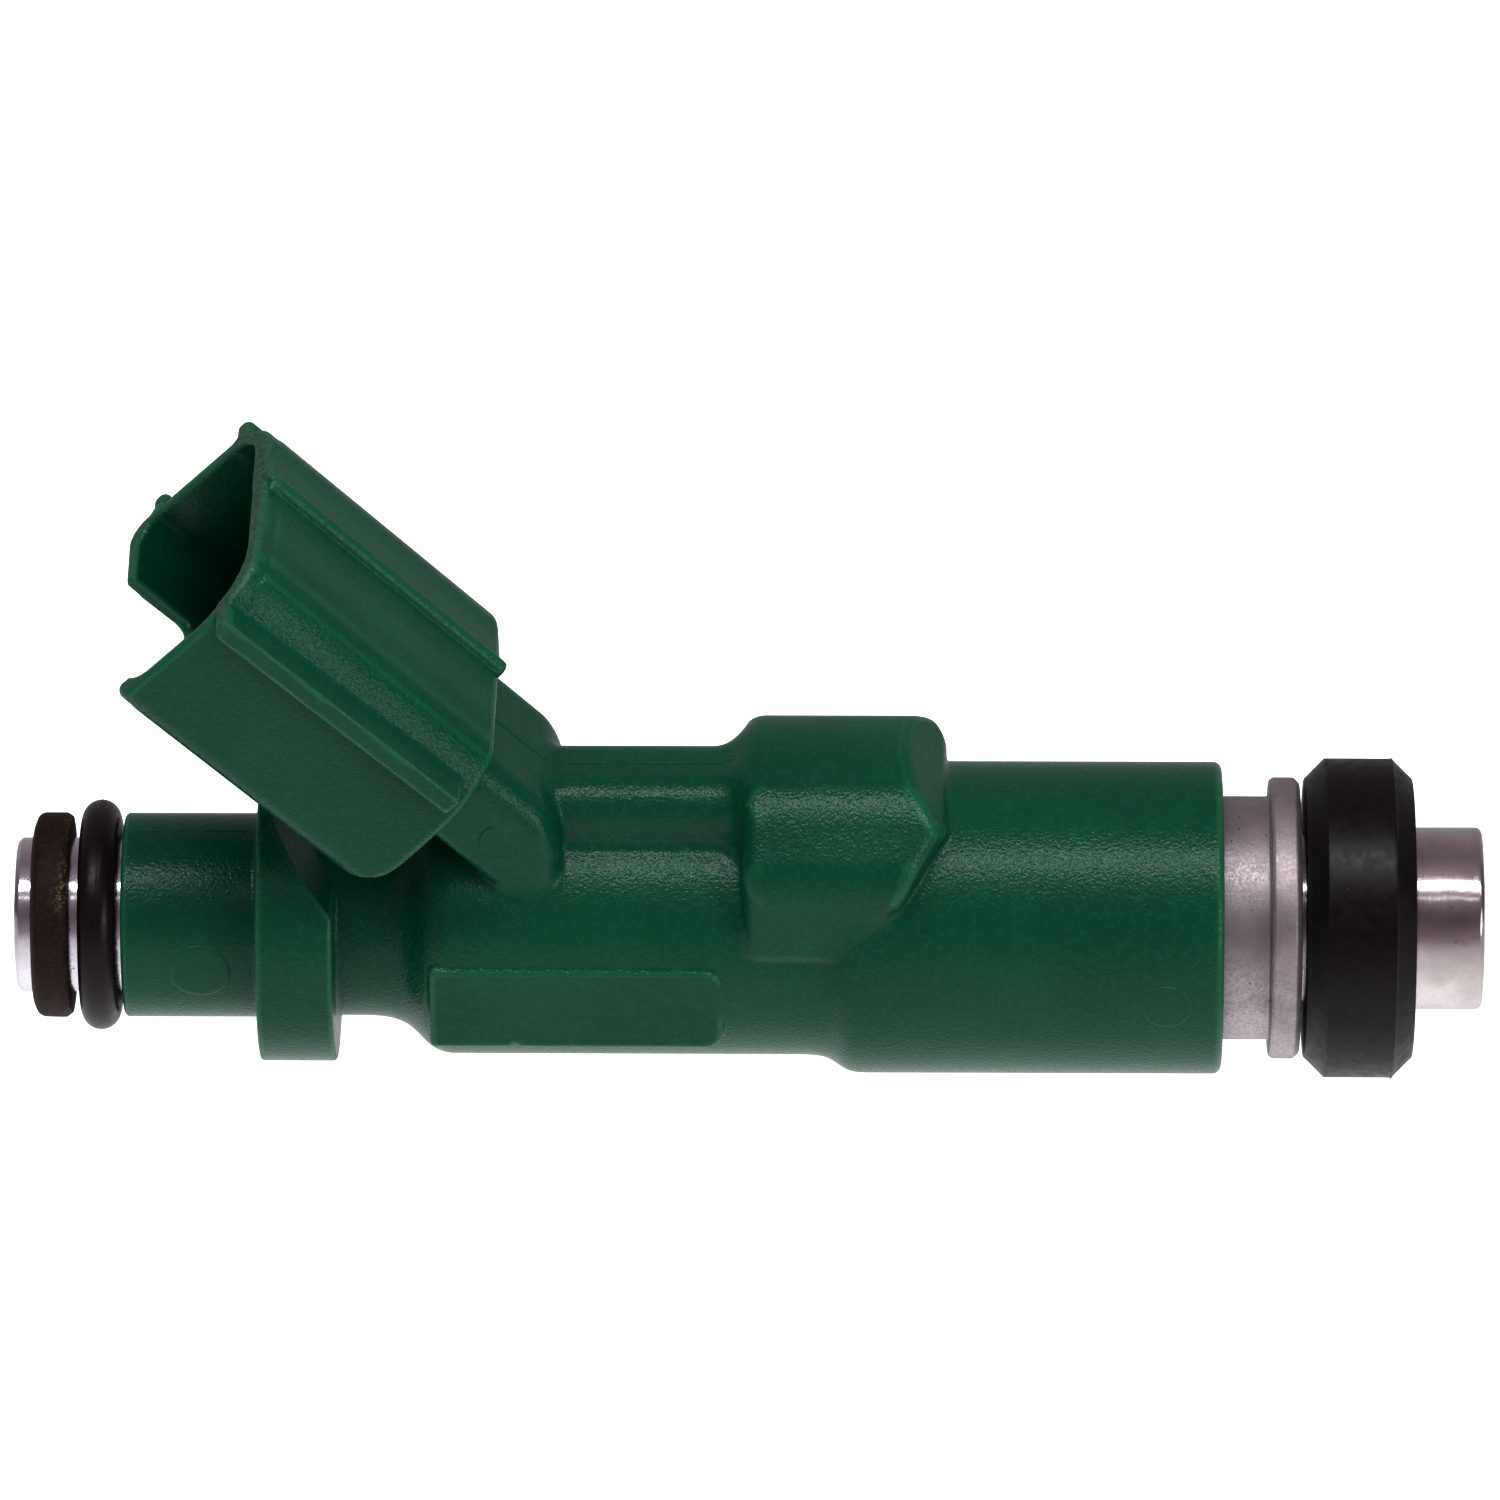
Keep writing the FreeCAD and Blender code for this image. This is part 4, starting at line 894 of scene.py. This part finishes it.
def thread(name, path, radius):
    """A thin round bead along a path of points, closed at both ends."""
    P = np.asarray(path)
    k = 6
    D = np.gradient(P, axis=0)
    D /= np.linalg.norm(D, axis=1, keepdims=True)
    side = np.tile(np.array([0.0, 1.0, 0.0]), (len(P), 1))
    up = np.cross(D, side)
    up /= np.linalg.norm(up, axis=1, keepdims=True)
    T = np.arange(k) * 2 * np.pi / k
    rad = np.asarray(radius) * np.ones(len(P))
    V = P[:, None] + rad[:, None, None] * (np.cos(T)[None, :, None] * side[:, None] + np.sin(T)[None, :, None] * up[:, None])
    i, j = np.meshgrid(np.arange(len(P) - 1), np.arange(k), indexing="ij")
    F = np.stack([i * k + j, i * k + (j + 1) % k, (i + 1) * k + (j + 1) % k, (i + 1) * k + j], -1).reshape(-1, 4).tolist()
    F.append(list(range(k))[::-1])
    F.append([(len(P) - 1) * k + j for j in range(k)])
    ob = make_mesh(name, V.reshape(-1, 3), F)
    paint(ob, "grain", np.full(len(ob.data.vertices), 0.15))
    return ob


def seam(name, u0, u1, low, high, radius, step=0.12, y=0.0):
    U = np.arange(u0, u1, step)
    inner = np.stack([U - O, np.full_like(U, y), low(U)], 1)
    outer = np.stack([U - O, np.full_like(U, y), high(U)], 1)
    P = edge_point(overmould, inner, outer)
    keep = np.concatenate([[True], np.linalg.norm(np.diff(P, axis=0), axis=1) > 0.02])
    P = P[keep]
    wob = radius * (0.8 + 0.3 * np.sin(P[:, 0] * 1.7) + 0.15 * np.sin(P[:, 0] * 5.3 + 1))
    fade = np.minimum(1, np.minimum(np.arange(len(P)), np.arange(len(P))[::-1]) / 4.0 + 0.15)
    piece(thread(name, P, wob * fade), M_GREEN)


flat = lambda v: (lambda U: np.full_like(U, v))
seam("parting_line_tube_top", 5.75, 12.3, flat(4.4), flat(5.9), 0.045)
seam("parting_line_top", 24.35, 61.6, flat(4.6), lambda U: np.minimum(12.6, 13.46 - (U - 24.13) * 1.0 + np.where(U > 27.5, 9, 0)), 0.05)
seam("parting_line_under", 5.75, 61.6, flat(-4.2), flat(-9.0), 0.05)


# ejector pins' marks: low round pads on the near side


def pin_mark(name, u0, z0, radius, lift, inside_y=-2.0):
    n, rings = 64, (0.0, 0.3, 0.6, 0.8, 0.9, 0.965, 1.0)
    tops = []
    for q in rings[1:]:
        a = np.arange(n) * 2 * np.pi / n
        tops.append(np.stack([u0 - O + radius * q * np.cos(a), np.zeros(n), z0 + radius * q * np.sin(a)], 1))
    pts = np.concatenate([[[u0 - O, 0.0, z0]]] + tops)
    inner, outer = pts.copy(), pts.copy()
    inner[:, 1], outer[:, 1] = inside_y, -12.0
    P = edge_point(overmould, inner, outer)
    q = np.concatenate([[0.0]] + [np.full(n, v) for v in rings[1:]])
    h = lift * (1 - smoothstep(0.955, 1.0, q)) - lift * 0.45 * (q < 0.7)
    top = P.copy()
    top[:, 1] -= h
    base = P.copy()
    base[:, 1] += 0.12
    V = np.concatenate([top, base])
    m = len(top)
    F = []
    for off, flip in ((0, False), (m, True)):
        for j in range(n):
            f = [off, off + 1 + j, off + 1 + (j + 1) % n]
            F.append(f[::-1] if flip else f)
        for k in range(len(rings) - 2):
            for j in range(n):
                a_, b_ = off + 1 + k * n + j, off + 1 + k * n + (j + 1) % n
                f = [a_, a_ + n, b_ + n, b_]
                F.append(f[::-1] if flip else f)
    last = 1 + (len(rings) - 2) * n
    for j in range(n):
        a_, b_ = last + j, last + (j + 1) % n
        F.append([a_, a_ + m, b_ + m, b_])
    ob = make_mesh(name, V, F)
    paint(ob, "grain", np.full(len(ob.data.vertices), 0.45))
    paint(ob, "edge", np.concatenate([np.where(q > 0.93, 0.6, 0.0)] * 2))
    piece(ob, M_GREEN)


pin_mark("ejector_mark_tube", 9.57, 0.05, 1.55, 0.06)
pin_mark("ejector_mark_body", 59.0, 0.0, 1.25, 0.03)
pin_mark("ejector_mark_neck", 24.93, 8.18, 0.95, 0.06)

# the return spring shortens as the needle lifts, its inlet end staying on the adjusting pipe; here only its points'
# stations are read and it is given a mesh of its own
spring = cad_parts["return_spring"]
ends = [(spring.matrix_world @ v.co).x for v in spring.data.vertices]
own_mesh(spring)
